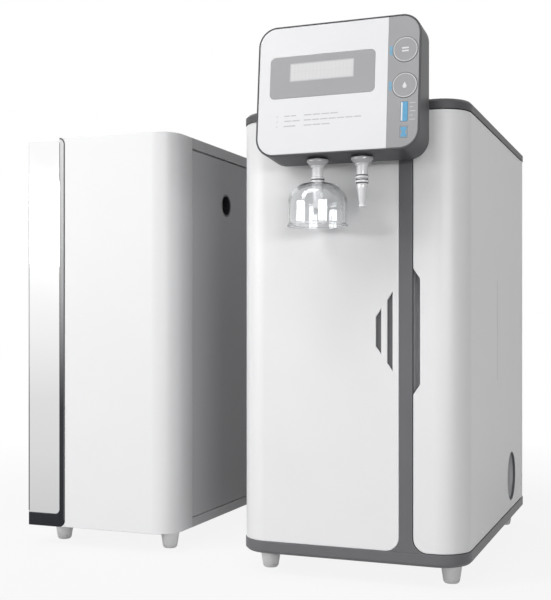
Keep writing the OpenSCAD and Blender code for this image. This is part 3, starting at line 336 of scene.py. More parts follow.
@dataclass(frozen=True)
class ClearFinish(Finish):
    """A clear moulded plastic or glass."""

    def dress(self, tree: Tree, shader: Node) -> None:
        """Lets light through, with the faint waves of a moulded wall.

        Args:
            tree: Node tree of the material.
            shader: The Principled shader.
        """
        waves = noise(tree, self.mottle, 1.0, self.stretch)
        gloss = add_node(tree, "ShaderNodeMapRange", inputs={
            "Value": waves, **span(self.roughness, self.roughness + self.vary)})
        bump = add_node(tree, "ShaderNodeBump", inputs={
            "Strength": 0.4, "Distance": self.depth * MM, "Height": waves})
        feed(tree, shader, {"Transmission Weight": 1.0, "Roughness": gloss.outputs[0], "Normal": bump.outputs[0]})


@dataclass(frozen=True)
class RampFinish(Finish):
    """A plated or lacquered surface whose colour fades with height: the fade is painted reflection."""

    stops: tuple[tuple[float, str], ...] = ()

    def dress(self, tree: Tree, shader: Node) -> None:
        """Adds the fade and a faint unevenness of the gloss.

        Args:
            tree: Node tree of the material.
            shader: The Principled shader.
        """
        gloss = add_node(tree, "ShaderNodeMapRange", inputs={
            "Value": noise(tree, self.mottle, 2.0), **span(self.roughness, self.roughness + self.vary)})
        feed(tree, shader, {"Base Color": height_ramp(tree, self.stops), "Roughness": gloss.outputs[0]})


@dataclass(frozen=True)
class ZoneFinish(Finish):
    """A moulding that has another colour inside a box of the object: painted shade in some boxes, painted light in
    others.

    The box's corners are in the cabinets' millimetres; a side of None is open.
    """

    inside: str = ""
    low: tuple[float | None, ...] = (None, None, None)
    high: tuple[float | None, ...] = (None, None, None)
    soft: Corner = (1.0, 1.0, 1.0)

    def tone(self, tree: Tree, cloud: Socket) -> Socket:
        """Gives the mottled colour outside the box and the inner colour in it.

        Args:
            tree: Node tree of the material.
            cloud: Output of the mottling.

        Returns:
            The colour's output.
        """
        place = add_node(tree, "ShaderNodeTexCoord")
        split = add_node(tree, "ShaderNodeSeparateXYZ", inputs={0: place.outputs["Object"]})
        share = None
        for axis, name in enumerate("XYZ"):
            for limit, side in ((self.low[axis], 1), (self.high[axis], -1)):
                if limit is None:
                    continue
                edge = at(*(limit if spot == axis else 0 for spot in range(3)))[axis]
                limits = span(0, 1, edge, edge + side * self.soft[axis] * MM)
                step = add_node(tree, "ShaderNodeMapRange", inputs={"Value": split.outputs[name], **limits})
                if share is not None:
                    step = add_node(tree, "ShaderNodeMath", {"operation": "MULTIPLY"}, {0: share, 1: step.outputs[0]})
                share = step.outputs[0]
        return add_node(tree, "ShaderNodeMix", {"data_type": "RGBA"}, {
            0: share, 6: super().tone(tree, cloud), 7: srgb(self.inside)}).outputs[2]


@dataclass(frozen=True)
class CellFinish(Finish):
    """A display whose character cells show as faint darker rectangles.

    The gap is a share of a cell's width; the corner is the first cell's, on the head's face.
    """

    pitch_x: float = 4.0
    pitch_y: float = 8.0
    gap: float = 0.14
    corner: Point = (36.7, 78.9)

    def dress(self, tree: Tree, shader: Node) -> None:
        """Draws the rows of empty cells on the piece's own coordinates.

        Args:
            tree: Node tree of the material.
            shader: The Principled shader.
        """
        place = add_node(tree, "ShaderNodeTexCoord")
        start = HEAD_X + self.corner[0], 0, HEAD_Z + self.corner[1] * math.cos(math.radians(HEAD_TILT))
        local = add_node(tree, "ShaderNodeMapping", {"vector_type": "TEXTURE"},
                         {"Vector": place.outputs["Object"], "Location": at(*start)})
        split = add_node(tree, "ShaderNodeSeparateXYZ", inputs={0: local.outputs[0]})
        inside = None
        for axis, pitch, gap in (("X", self.pitch_x, self.gap), ("Z", self.pitch_y, self.gap / 2)):
            cell = split.outputs[axis]
            for operation, value in (("DIVIDE", pitch * MM), ("FRACT", 0.0), ("GREATER_THAN", gap)):
                cell = add_node(tree, "ShaderNodeMath", {"operation": operation}, {0: cell, 1: value}).outputs[0]
            inside = cell if inside is None else add_node(
                tree, "ShaderNodeMath", {"operation": "MULTIPLY"}, {0: inside, 1: cell}).outputs[0]
        mixed = add_node(tree, "ShaderNodeMix", {"data_type": "RGBA"},
                         {0: inside, 6: srgb(self.colour), 7: srgb(self.shade)})
        feed(tree, shader, {"Base Color": mixed.outputs[2]})


@dataclass(frozen=True)
class BoardFinish(Finish):
    """A circuit board: solder mask over copper tracks.

    A track's width and height are in millimetres; repeat and edge are shares of a block of tracks.
    """

    track: float = 1.6
    copper: float = 0.05
    repeat: float = 0.16
    edge: Point = (0.07, 0.1)

    def dress(self, tree: Tree, shader: Node) -> None:
        """Draws the tracks as right-angled steps, with the bump of the copper under the mask.

        Args:
            tree: Node tree of the material.
            shader: The Principled shader.
        """
        place = add_node(tree, "ShaderNodeTexCoord")
        blocks = add_node(tree, "ShaderNodeTexVoronoi", {"distance": "MANHATTAN", "feature": "F1"},
                          {"Vector": place.outputs["Object"], "Scale": 1 / (6 * self.track * MM)})
        steps = add_node(tree, "ShaderNodeMath", {"operation": "PINGPONG"},
                         {0: blocks.outputs["Distance"], 1: self.repeat})
        lines = add_node(tree, "ShaderNodeMapRange",
                         inputs={"Value": steps.outputs[0], **span(0, 1, *self.edge)}).outputs[0]
        mixed = add_node(tree, "ShaderNodeMix", {"data_type": "RGBA"},
                         {0: lines, 6: srgb(self.shade), 7: srgb(self.colour)})
        bump = add_node(tree, "ShaderNodeBump", inputs={
            "Strength": 0.6, "Distance": self.copper * MM, "Height": lines})
        feed(tree, shader, {"Base Color": mixed.outputs[2], "Normal": bump.outputs[0]})


# Values that several mouldings share: the white, and the grains of a satin and of a matte tool.
WHITE = {"colour": "#ececed", "shade": "#eaeaeb"}
SATIN = {"vary": 0.012, "grain": 1.2, "depth": 0.012}
MATTE = {"vary": 0.015, "grain": 1.0, "depth": 0.02}
SMOOTH = {"vary": 0.01, "grain": 1.0, "depth": 0.002, "mottle": 200.0}

# Satin white ABS, injection moulded against a spark-eroded tool: a soft even sheen with a fine grain.
# The real grain is about 0.2 mm; it is drawn at 1.2 mm so that it shows.
WHITE_ABS = Finish("abs_white_satin", **WHITE, **SATIN, roughness=0.36, mottle=90.0)
# The side cover's satin white, with a dark grey at the bottom of its groove that is painted shade.
COVER_WHITE_SHADED_GROOVE = ZoneFinish("abs_white_painted_groove_shade", **WHITE, **SATIN, roughness=0.36, mottle=90.0, inside="#68686b",
                       low=(251.4, 193.0, 207.0), high=(253.1, 196.4, 325.6), soft=(0.5, 0.05, 0.5))
# The same white on the pretreatment cabinet, with painted shade: its flank darkens to a pale grey.
PRETREAT_WHITE_SHADED_FLANK = ZoneFinish("abs_white_painted_flank_shade", **WHITE, **SMOOTH, roughness=0.42, inside="#aeaeb0",
                         low=(None, 54.0, None), soft=(1, 52, 1))
# Polished white ABS of the small caps, smoother than the shells.
WHITE_GLOSS = Finish("abs_white_gloss", **WHITE, **SMOOTH, roughness=0.3)
# White ABS of the pretreatment cabinet's cap and pan, with the same painted shade as the front shell's flank: grey on
# the side.
PRETREAT_RIM_SHADED_SIDE = ZoneFinish("abs_white_rim_painted_side_shade", **WHITE, roughness=0.55, vary=0.01, grain=1.2, depth=0.008, mottle=90.0,
                       inside="#a8a8aa", low=(-105.4, 54.0, None), soft=(1, 52, 1))
# ABS of the pretreatment cabinet's side panel; its light grey, which goes on darkening towards the back, is painted
# shade.
SIDE_PANEL_PAINTED_SHADE = ZoneFinish("abs_side_painted_shade", "#a8a8ab", "#a6a6a9", **SATIN, roughness=0.5, inside="#8a8a8d",
                      low=(None, 105.0, None), soft=(1, 90, 1))
# Matte grey ABS of the frame parts: a leather-like grain scatters the light. The finger recess has a pale grey of
# painted light.
FRAME_GREY_LIT_RECESS = ZoneFinish("abs_frame_grey_painted_lit_recess", "#646467", "#606063", **MATTE, roughness=0.5, inside="#d0d0d3",
                      low=(None, 6.0, 190.0), high=(None, 24.0, None))
# The lid's grey is a little darker than the frame's.
LID_ABS = Finish("abs_grey_dark_matte", "#444447", "#424245", **MATTE, roughness=0.52)
# The round cup is moulded in a dark grey, and a paler grey fills its depth: the dark band at its mouth is painted
# shade, the pale depth painted light.
CUP_GREY_LIGHT_AND_SHADE = ZoneFinish("abs_cup_painted_light_and_shade", "#5d5d60", "#59595c", **MATTE, roughness=0.5, inside="#bdbdbf",
                     high=(250.5, None, None), soft=(0.5, 1, 1))
# Darker grey ABS of the head's housing.
HEAD_ABS = Finish("abs_dark_grey_matte", "#3f4043", "#3d3e41", roughness=0.46, vary=0.015, grain=1.0, depth=0.018)
# White polycarbonate overlay: smooth, with a hard clear skin.
FACE_FILM = Finish("polycarbonate_white_overlay", "#e6e6e8", "#e3e3e5", roughness=0.22, ior=1.58, grain=2.0,
                   depth=0.003, coat=0.3)
# Mid grey polycarbonate overlay of the key field.
PANEL_FILM = Finish("polycarbonate_grey_overlay", "#9c9c9e", "#98989a", roughness=0.34, ior=1.58, grain=0.9,
                    depth=0.006)
# Grey-backed acrylic of the display window.
WINDOW_ACRYLIC = Finish("acrylic_grey_backed", "#a4a4a6", "#a1a1a3", roughness=0.16, ior=1.49, grain=3.0,
                        depth=0.002, coat=0.3)
# Reflective liquid-crystal cell: pale, with its empty character cells.
LCD_CELLS = CellFinish("lcd_reflective", "#d0d0d1", "#d5d5d6", roughness=0.25)
# Screen-printed ink: flat and opaque.
PALE_INK = Finish("ink_pale", "#dcdcdd", "#d6d6d8", roughness=0.5, mottle=3.0)
GREY_INK = Finish("ink_grey", "#bdbdc1", "#b7b7bb", roughness=0.5, mottle=3.0)
BLUE_INK = Finish("ink_blue", "#7ba6c0", "#739fba", roughness=0.45, mottle=3.0)
# Blue acrylic light guide, as it looks unlit: a clean even blue.
BLUE_GUIDE = Finish("acrylic_light_guide_blue", "#5f9fc6", "#6aa7cb", roughness=0.25, ior=1.49, mottle=4.0)
# Pale thermoplastic rubber of the feet: soft, slightly dusty sheen.
PALE_RUBBER = Finish("tpe_rubber_pale", "#f0f0f1", "#e8e8e9", roughness=0.6, grain=1.5, depth=0.03, mottle=12.0)
# Natural acetal of the outlets: turned and tumbled, so it has a satin gloss. Their collars are greyer: painted shade
# under the head.
OUTLET_COLLAR_SHADE_POM = ZoneFinish("pom_natural_painted_collar_shade", "#eaeaec", "#e4e4e6", roughness=0.15, ior=1.48, grain=1.5, depth=0.002,
                    mottle=8.0, coat=0.5, inside="#b4b4b7", low=(None, None, 435.0), soft=(1, 1, 3))
# Dark grey rubber: dull and soft. Its rings in the outlets' grooves are painted shade, and its line along the strip's
# carrier is painted shadow.
DARK_RUBBER_PAINTED_SHADE = Finish("epdm_rubber_painted_shade", "#4a4a4d", "#434346", roughness=0.55, grain=0.8, depth=0.02, mottle=3.0)
# Clear polycarbonate bell, moulded with a faint wave in its wall.
CLEAR_PC = ClearFinish("polycarbonate_clear", "#f2f3f4", roughness=0.0, vary=0.02, ior=1.585, depth=0.02, mottle=14.0)
# Black nylon of bushes, rings and small mouldings.
BLACK_NYLON = Finish("nylon_black", "#1f2023", "#26272a", roughness=0.42, grain=1.0, depth=0.02, mottle=15.0)
# Chrome-plated mirror strip; its greying towards the foot is painted reflection.
MIRROR_CHROME_PAINTED_FADE = RampFinish("chrome_mirror_painted_reflection", "#f4f4f5", metallic=1.0, roughness=0.03, vary=0.02, stops=(
    (40, "#d2d2d3"), (180, "#dedede"), (260, "#f0f0f0"), (330, "#fbfbfb"), (505, "#fafafa")))
# Lacquered edge of the strip's carrier, black at the foot and silvered at the head: the fade is painted reflection.
CARRIER_PAINTED_REFLECTION = RampFinish("lacquer_carrier_painted_reflection", "#202124", metallic=0.75, roughness=0.14, vary=0.05, stops=(
    (24, "#2a2b2f"), (170, "#38393c"), (212, "#606062"), (255, "#868688"), (305, "#a4a4a6"), (383, "#c4c4c4"),
    (490, "#dedede")))
# Grey lacquer line at the strip's outer edge, darker towards the foot and nearly white at the head: the fade is
# painted reflection.
EDGE_LINE_PAINTED_REFLECTION = RampFinish("lacquer_edge_painted_reflection", "#9c9c9e", roughness=0.3, vary=0.05, stops=(
    (24, "#242528"), (113, "#27282b"), (170, "#38393c"), (236, "#8a8a8c"), (300, "#98989a"), (410, "#9e9ea0"),
    (440, "#d2d2d4"), (490, "#dadadc")))
# Stainless steel sheet with a brushed grain along its height.
BRUSHED_STEEL = Finish("stainless_brushed", "#c3c5c8", "#b4b6ba", roughness=0.32, vary=0.1, metallic=1.0,
                       grain=0.8, depth=0.006, mottle=2.0, stretch=(1, 1, 0.04))
# Galvanised sheet of the inner frames: cloudy zinc.
ZINC_SHEET = Finish("zinc_plated_sheet", "#bfc2c6", "#a9adb2", roughness=0.42, vary=0.12, metallic=1.0,
                    grain=6.0, depth=0.01, mottle=14.0)
# Bright nickel on screws and pins.
NICKEL = Finish("nickel_plated", "#d0cfca", "#c2c1bc", roughness=0.2, vary=0.06, metallic=1.0, mottle=2.0)
# Magnet with its black epoxy coat.
EPOXY_BLACK = Finish("epoxy_black", "#1b1b1d", "#232325", roughness=0.3, grain=2.0, depth=0.01)
# Green solder mask over copper.
GREEN_BOARD = BoardFinish("circuit_board_green", "#2f6b47", "#43875c", roughness=0.3, coat=0.3)
# Fused quartz of the lamp.
QUARTZ = ClearFinish("quartz_clear", "#f4f7fb", roughness=0.02, vary=0.03, ior=1.46, depth=0.01, mottle=20.0)
# Blue polypropylene cartridge bodies, satin with flow marks.
BLUE_PP = Finish("polypropylene_blue", "#6f9fc4", "#6895bb", roughness=0.34, mottle=40.0, grain=2.0, depth=0.02)
# Natural white polypropylene of housings and the tank.
WHITE_PP = Finish("polypropylene_white", "#e2e3e4", "#d8dadc", roughness=0.38, mottle=40.0, grain=2.0, depth=0.02)
# White polyethylene tube.
PE_TUBE = Finish("polyethylene_tube_white", "#e8eaec", "#dde1e4", roughness=0.3, mottle=6.0, grain=1.5, depth=0.006)
# Powder-coated can of the pump motor.
GREY_POWDER = Finish("powder_coat_grey", "#58595c", "#515255", roughness=0.5, grain=1.6, depth=0.05)


# A CAD node, its piece's name, the radius of its outer edges and its finish.
Skin = tuple[str, str, float, Finish]


# ---------- meshes ----------

# Half the angle past which a corner counts as straight and isn't rounded.
STRAIGHT = math.radians(89)
# Angle under which the faces of a CAD mesh are one, and in degrees that past which an edge is rounded.
FLAT = math.radians(0.6)
MOULD_EDGE = 32.0


def rounded(corners: Sequence[Corner], steps: int = 5) -> list[Point]:
    """Rounds the corners of a flat closed outline.

    Args:
        corners: Each corner's two coordinates and its radius, in millimetres.
        steps: Pieces of each rounded corner.

    Returns:
        The outline's points.
    """
    points: list[Point] = []
    count = len(corners)
    for i, (x, y, radius) in enumerate(corners):
        here = Vector((x, y))
        before = (Vector(corners[i - 1][:2]) - here).normalized()
        after = (Vector(corners[(i + 1) % count][:2]) - here).normalized()
        half = before.angle(after) / 2 if radius > 0 else 0.0
        if radius <= 0 or half > STRAIGHT:
            points.append((x, y))
            continue
        reach = radius / math.tan(half)
        centre = here + (before + after).normalized() * (radius / math.sin(half))
        start = here + before * reach - centre
        end = here + after * reach - centre
        sweep = start.angle_signed(end)
        for k in range(steps + 1):
            turned = start.copy()
            turned.rotate(Matrix.Rotation(-sweep * k / steps, 2))
            points.append(tuple(centre + turned))
    return points


def box_outline(width: float, height: float, radius: float = 0.0, steps: int = 5) -> list[Point]:
    """Gives a rounded rectangle centred on the origin.

    Args:
        width: Size along X.
        height: Size along Y.
        radius: Corner radius.
        steps: Pieces of each corner.

    Returns:
        The outline's points, anticlockwise.
    """
    w, h = width / 2, height / 2
    return rounded([(-w, -h, radius), (w, -h, radius), (w, h, radius), (-w, h, radius)], steps=steps)


def lathe(profile: Sequence[Point], steps: int = 64) -> Mesh:
    """Turns a half section round the Z axis.

    Args:
        profile: Radius and height of each point of the closed half section.
        steps: Sides of the turned shape.

    Returns:
        The mesh, in millimetres.
    """
    made = bmesh.new()
    rings = []
    for radius, height in profile:
        if radius < 1e-4:
            rings.append([made.verts.new((0, 0, height))] * steps)
            continue
        angles = [2 * math.pi * k / steps for k in range(steps)]
        rings.append([made.verts.new((radius * math.cos(a), radius * math.sin(a), height)) for a in angles])
    for low, high in zip(rings, rings[1:] + rings[:1]):
        for k in range(steps):
            face = dict.fromkeys((low[k], low[(k + 1) % steps], high[(k + 1) % steps], high[k]))
            if len(face) > 2:
                made.faces.new(list(face))
    return finished(made)


def plate(outline: Sequence[Point], thickness: float, edge: float = 0.0) -> Mesh:
    """Makes a flat plate from Z 0 up, with its upper edge rounded.

    Args:
        outline: Points of the plate's edge, anticlockwise.
        thickness: Height of the plate.
        edge: Radius of the upper edge.

    Returns:
        The mesh, in millimetres.
    """
    made = bmesh.new()
    base = made.faces.new([made.verts.new((x, y, 0)) for x, y in outline])
    raised = bmesh.ops.extrude_face_region(made, geom=[base])
    top = [v for v in raised["geom"] if isinstance(v, bmesh.types.BMVert)]
    bmesh.ops.translate(made, verts=top, vec=(0, 0, thickness))
    if edge:
        rim = [e for e in made.edges if all(v in top for v in e.verts)]
        bmesh.ops.bevel(made, geom=rim, offset=edge, segments=3, profile=0.5, affect="EDGES")
    return finished(made)


def finished(made: bmesh.types.BMesh, mesh: Mesh | None = None) -> Mesh:
    """Merges doubles, turns the faces outwards and gives the mesh.

    Args:
        made: The shape, which is freed.
        mesh: Mesh that takes the shape; a new one if None.

    Returns:
        The mesh, with sharp edges marked.
    """
    bmesh.ops.remove_doubles(made, verts=made.verts, dist=1e-5)
    bmesh.ops.recalc_face_normals(made, faces=made.faces)
    mark_sharp(made)
    return written(made, mesh)


def written(made: bmesh.types.BMesh, mesh: Mesh | None = None) -> Mesh:
    """Writes a shape to a mesh.

    Args:
        made: The shape, which is freed.
        mesh: Mesh that takes the shape; a new one if None.

    Returns:
        The mesh.
    """
    mesh = mesh or bpy.data.meshes.new("shape")
    made.to_mesh(mesh)
    made.free()
    return mesh


def mark_sharp(made: bmesh.types.BMesh, angle: float = 38.0) -> None:
    """Shades the faces smooth and marks the edges that stay sharp.

    Args:
        made: The shape.
        angle: Least angle of a sharp edge, in degrees.
    """
    for face in made.faces:
        face.smooth = True
    for edge in made.edges:
        if len(edge.link_faces) == 2 and edge.calc_face_angle() > math.radians(angle):
            edge.smooth = False


def joined(parts: Sequence[tuple[Mesh, Matrix]]) -> Mesh:
    """Joins several meshes into one, each with its own place.

    Args:
        parts: Meshes with their matrices.

    Returns:
        The joined mesh.
    """
    made = bmesh.new()
    for mesh, place in parts:
        piece = mesh.copy()
        piece.transform(place)
        made.from_mesh(piece)
    mark_sharp(made)
    return written(made)


def show(name: str, mesh: Mesh, finish: Finish, place: Matrix, node: str = "", on: str = "") -> Piece:
    """Shows a mesh as a piece of the object.

    Args:
        name: Name of the piece.
        mesh: Its mesh.
        finish: Its material.
        place: Matrix that puts the mesh into the shared frame.
        node: CAD node that it stands for, and whose body it takes.
        on: CAD node whose body it takes where it stands for none.

    Returns:
        The piece.
    """
    mesh.transform(place)
    piece = bpy.data.objects.new(name, mesh)
    bpy.context.scene.collection.objects.link(piece)
    mesh.materials.clear()
    mesh.materials.append(finish.material())
    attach(piece, BODY_OF[node or on])
    if node:
        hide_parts(node)
    LOG.info("%s: %d faces in %s", name, len(mesh.polygons), finish.title)
    return piece


def soften(node: str, name: str, edge: float, finish: Finish, steps: int = 3) -> None:
    """Stands for a CAD node with a merged copy whose outer edges are rounded, as a mould leaves them.

    Args:
        node: CAD node.
        name: Name of the piece.
        edge: Radius of the outer edges.
        finish: Its material.
        steps: Pieces of each rounded edge.
    """
    made = bmesh.new()
    made.from_mesh(frame["nodes"][node].data)
    bmesh.ops.remove_doubles(made, verts=made.verts, dist=1e-6)
    bmesh.ops.dissolve_limit(made, angle_limit=FLAT, verts=made.verts, edges=made.edges)
    mark_sharp(made, MOULD_EDGE)
    weight = made.edges.layers.float.new("bevel_weight_edge")
    for rim in made.edges:
        if not rim.smooth and rim.is_convex:
            rim[weight] = 1.0
            rim.smooth = True
    piece = show(name, written(made), finish, Matrix.Identity(4), node)
    bevel = piece.modifiers.new("edges", "BEVEL")
    bevel.limit_method = "WEIGHT"
    bevel.width = edge * MM
    bevel.segments = steps
    bevel.use_clamp_overlap = False
    bevel.miter_outer = "MITER_ARC"
    piece.modifiers.new("shading", "WEIGHTED_NORMAL").keep_sharp = True


def soften_all(skins: Sequence[Skin], steps: int = 3) -> None:
    """Softens several CAD nodes.

    Args:
        skins: Each node with its piece's name, the radius of its edges and its finish.
        steps: Pieces of each rounded edge.
    """
    for skin in skins:
        soften(*skin, steps)


# ---------- Geometry Nodes ----------

class Layout(Enum):
    """How copies of a small shape are laid out."""

    GRID = "grid"
    RING = "ring"


@dataclass
class NodeShape:
    """A Geometry Nodes tree with named inputs, baked to a plain mesh."""

    name: str
    tree: Tree = field(init=False)
    start: Node = field(init=False)

    def __post_init__(self) -> None:
        """Makes the empty tree with its inputs."""
        self.tree = bpy.data.node_groups.new(self.name, "GeometryNodeTree")
        for way in ("OUTPUT", "INPUT"):
            self.tree.interface.new_socket(name="Geometry", in_out=way, socket_type="NodeSocketGeometry")

    def take(self, **inputs: str) -> Node:
        """Adds the named inputs.

        Args:
            inputs: Socket type of each input, by name.

        Returns:
            The group's input node.
        """
        for name, kind in inputs.items():
            self.tree.interface.new_socket(name=name, in_out="INPUT", socket_type=f"NodeSocket{kind}")
        self.start = add_node(self.tree, "NodeGroupInput")
        return self.start

    def close(self, geometry: Socket) -> None:
        """Ends the tree in Realize Instances and Set Material.

        Args:
            geometry: Output that carries the finished shape.
        """
        real = add_node(self.tree, "GeometryNodeRealizeInstances", inputs={0: geometry})
        dressed = add_node(self.tree, "GeometryNodeSetMaterial", inputs={
            "Geometry": real.outputs[0], "Material": self.start.outputs["Material"]})
        add_node(self.tree, "NodeGroupOutput", inputs={0: dressed.outputs[0]})

    def bake(self, base: Mesh, values: Mapping[str, object]) -> Mesh:
        """Runs the tree on a mesh.

        Args:
            base: Mesh that the tree starts from.
            values: Value of each named input.

        Returns:
            The result as a plain mesh.
        """
        carrier = bpy.data.objects.new("carrier", base)
        bpy.context.scene.collection.objects.link(carrier)
        modifier = carrier.modifiers.new("shape", "NODES")
        modifier.node_group = self.tree
        for item in self.tree.interface.items_tree:
            if item.in_out == "INPUT" and item.name in values:
                modifier[item.identifier] = values[item.name]
        carrier.update_tag()
        graph = bpy.context.evaluated_depsgraph_get()
        graph.update()
        mesh = bpy.data.meshes.new_from_object(carrier.evaluated_get(graph))
        carrier.modifiers.remove(modifier)
        bpy.data.objects.remove(carrier)
        return mesh


def repeat_shape(layout: Layout) -> NodeShape:
    """Builds the tree that copies an item over a grid or round a ring.

    Args:
        layout: Grid or ring.

    Returns:
        The tree.
    """
    shape = NodeShape(f"repeat_{layout.value}")
    if layout is Layout.GRID:
        start = shape.take(Item="Object", Columns="Int", Rows="Int", Width="Float", Height="Float",
                           Material="Material")
        points = add_node(shape.tree, "GeometryNodeMeshGrid", inputs={
            "Size X": start.outputs["Width"], "Size Y": start.outputs["Height"],
            "Vertices X": start.outputs["Columns"], "Vertices Y": start.outputs["Rows"]}).outputs["Mesh"]
        turns = {}
    else:
        start = shape.take(Item="Object", Count="Int", Radius="Float", Material="Material")
        points = add_node(shape.tree, "GeometryNodeMeshCircle", inputs={
            "Vertices": start.outputs["Count"], "Radius": start.outputs["Radius"]}).outputs["Mesh"]
        angle = add_node(shape.tree, "GeometryNodeInputIndex")
        for operation, value in (("DIVIDE", start.outputs["Count"]), ("MULTIPLY", 2 * math.pi)):
            angle = add_node(shape.tree, "ShaderNodeMath", {"operation": operation}, {0: angle.outputs[0], 1: value})
        turns = {"Rotation": add_node(shape.tree, "ShaderNodeCombineXYZ", inputs={"Z": angle.outputs[0]}).outputs[0]}
    item = add_node(shape.tree, "GeometryNodeObjectInfo", inputs={"Object": start.outputs["Item"]})
    copies = add_node(shape.tree, "GeometryNodeInstanceOnPoints", inputs={
        "Points": points, "Instance": item.outputs["Geometry"], **turns})
    shape.close(copies.outputs[0])
    return shape


def tube_shape() -> NodeShape:
    """Builds the tree that draws a tube along a polyline, with a rounded bend at each corner.

    Returns:
        The tree.
    """
    shape = NodeShape("tube_along_path")
    start = shape.take(Radius="Float", Bend="Float", Material="Material")
    line = add_node(shape.tree, "GeometryNodeMeshToCurve", inputs={"Mesh": start.outputs["Geometry"]})
    bent = add_node(shape.tree, "GeometryNodeFilletCurve", {"mode": "POLY"}, {
        "Curve": line.outputs[0], "Radius": start.outputs["Bend"], "Limit Radius": True, "Count": 8})
    ring = add_node(shape.tree, "GeometryNodeCurvePrimitiveCircle",
                    inputs={"Resolution": 20, "Radius": start.outputs["Radius"]})
    swept = add_node(shape.tree, "GeometryNodeCurveToMesh", inputs={
        "Curve": bent.outputs[0], "Profile Curve": ring.outputs[0], "Fill Caps": True})
    smooth = add_node(shape.tree, "GeometryNodeSetShadeSmooth", inputs={"Geometry": swept.outputs[0]})
    shape.close(smooth.outputs[0])
    return shape


@dataclass
class Copies:
    """Makes rows, rings and tubes with the Geometry Nodes trees."""

    grid: NodeShape = field(default_factory=lambda: repeat_shape(Layout.GRID))
    ring: NodeShape = field(default_factory=lambda: repeat_shape(Layout.RING))
    path: NodeShape = field(default_factory=tube_shape)

    @staticmethod
    def repeat(shape: NodeShape, mesh: Mesh, finish: Finish, **sizes: float) -> Mesh:
        """Runs a repeating tree and turns the copies' faces outwards.

        Args:
            shape: The tree.
            mesh: The small shape.
            finish: Its material.
            sizes: Value of each of the tree's other inputs.

        Returns:
            The copies as one mesh, in millimetres.
        """
        item = bpy.data.objects.new("item", mesh)
        copies = shape.bake(bpy.data.meshes.new("seed"), {"Item": item, "Material": finish.material(), **sizes})
        bpy.data.objects.remove(item)
        made = bmesh.new()
        made.from_mesh(copies)
        return finished(made, copies)

    def rows(self, mesh: Mesh, columns: int, rows: int, width: float, height: float, finish: Finish) -> Mesh:
        """Copies a mesh over a grid centred on the origin.

        Args:
            mesh: The small shape.
            columns: Copies along X.
            rows: Copies along Y.
            width: Distance from the first to the last column.
            height: Distance from the first to the last row.
            finish: Its material.

        Returns:
            The copies as one mesh, in millimetres.
        """
        return self.repeat(self.grid, mesh, finish, Columns=columns, Rows=rows, Width=float(width),
                           Height=float(height))

    def round(self, mesh: Mesh, count: int, radius: float, finish: Finish) -> Mesh:
        """Copies a mesh round the Z axis.

        Args:
            mesh: The small shape, whose X axis points outwards.
            count: Number of copies.
            radius: Radius of the ring.
            finish: Its material.

        Returns:
            The copies as one mesh, in millimetres.
        """
        return self.repeat(self.ring, mesh, finish, Count=count, Radius=float(radius))

    def tube(self, points: Sequence[Corner], radius: float, bend: float, finish: Finish) -> Mesh:
        """Draws a tube along a polyline.

        Args:
            points: Corners of its middle line, in millimetres.
            radius: Its outer radius.
            bend: Radius of its bends.
            finish: Its material.

        Returns:
            The tube as one mesh, in millimetres.
        """
        line = bpy.data.meshes.new("line")
        line.from_pydata(points, [(i, i + 1) for i in range(len(points) - 1)], [])
        return self.path.bake(line, {"Radius": radius, "Bend": bend, "Material": finish.material()})


# ---------- the dispensing cabinet's outside ----------

@dataclass
class DispensingShells:
    """White skins, grey frame and back of the dispensing cabinet."""

    skins: tuple[Skin, ...] = (
        ("main_left_shell", "left_shell_skin", 0.9, WHITE_ABS), ("side_cover", "side_cover_skin", 0.9, COVER_WHITE_SHADED_GROOVE),
        ("main_back_panel", "back_panel_skin", 0.6, WHITE_ABS), ("main_mullion", "front_mullion", 0.5, FRAME_GREY_LIT_RECESS),
        ("main_base_pan", "base_pan", 0.5, FRAME_GREY_LIT_RECESS), ("side_cover_cup", "round_cup", 0.5, CUP_GREY_LIGHT_AND_SHADE),
        ("main_top_lid", "top_lid", 0.5, LID_ABS))
    skin_x: float = 253.2
    plug_r: float = 2.6
    plug_places: tuple[Point, ...] = ((87.0, 489.0), (93.0, 45.0))

    def build(self) -> None:
        """Builds the shells and the plugs over the cover's screws."""
        soften_all(self.skins)
        r = self.plug_r
        for i, (y, z) in enumerate(self.plug_places):
            cap = lathe([(0, -0.6), (r, -0.6), (r, 0.1), (r - 0.4, 0.45), (0, 0.55)], 32)
            show(f"cover_screw_plug_{i + 1}", cap, WHITE_GLOSS, seat(self.skin_x, y, z, Axis.RIGHT), on="side_cover")


@dataclass
class Feet:
    """Tapered rubber feet with a sole ring, four under each cabinet."""

    copies: Copies
    top_r: float = 12.0
    base_r: float = 8.5
    height: float = 23.5

    def profile(self) -> list[Point]:
        """Gives the half section of a foot."""
        side = [(self.base_r + (self.top_r - self.base_r) * z / self.height, z) for z in (4.2, 5.0, 18.6, 19.4)]
        return [(0, 0.6), (3.2, 0.6), (3.8, 0), (self.base_r - 1.5, 0), (self.base_r - 0.1, 1.4), side[0],
                (side[0][0] - 0.7, 4.6), side[1], side[2], (side[2][0] - 0.5, 19.0), side[3],
                (self.top_r, self.height), (0, self.height)]

    def build(self) -> None:
        """Builds both sets of feet."""
        for node, name in (("main_feet", "dispensing_feet"), ("left_feet", "pretreatment_feet")):
            low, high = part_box(node)
            gaps = [(high[axis] - low[axis]) / MM - 2 * self.top_r for axis in (0, 1)]
            rows = self.copies.rows(lathe(self.profile(), 48), 2, 2, *gaps, PALE_RUBBER)
            show(name, rows, PALE_RUBBER, stand(node), node)


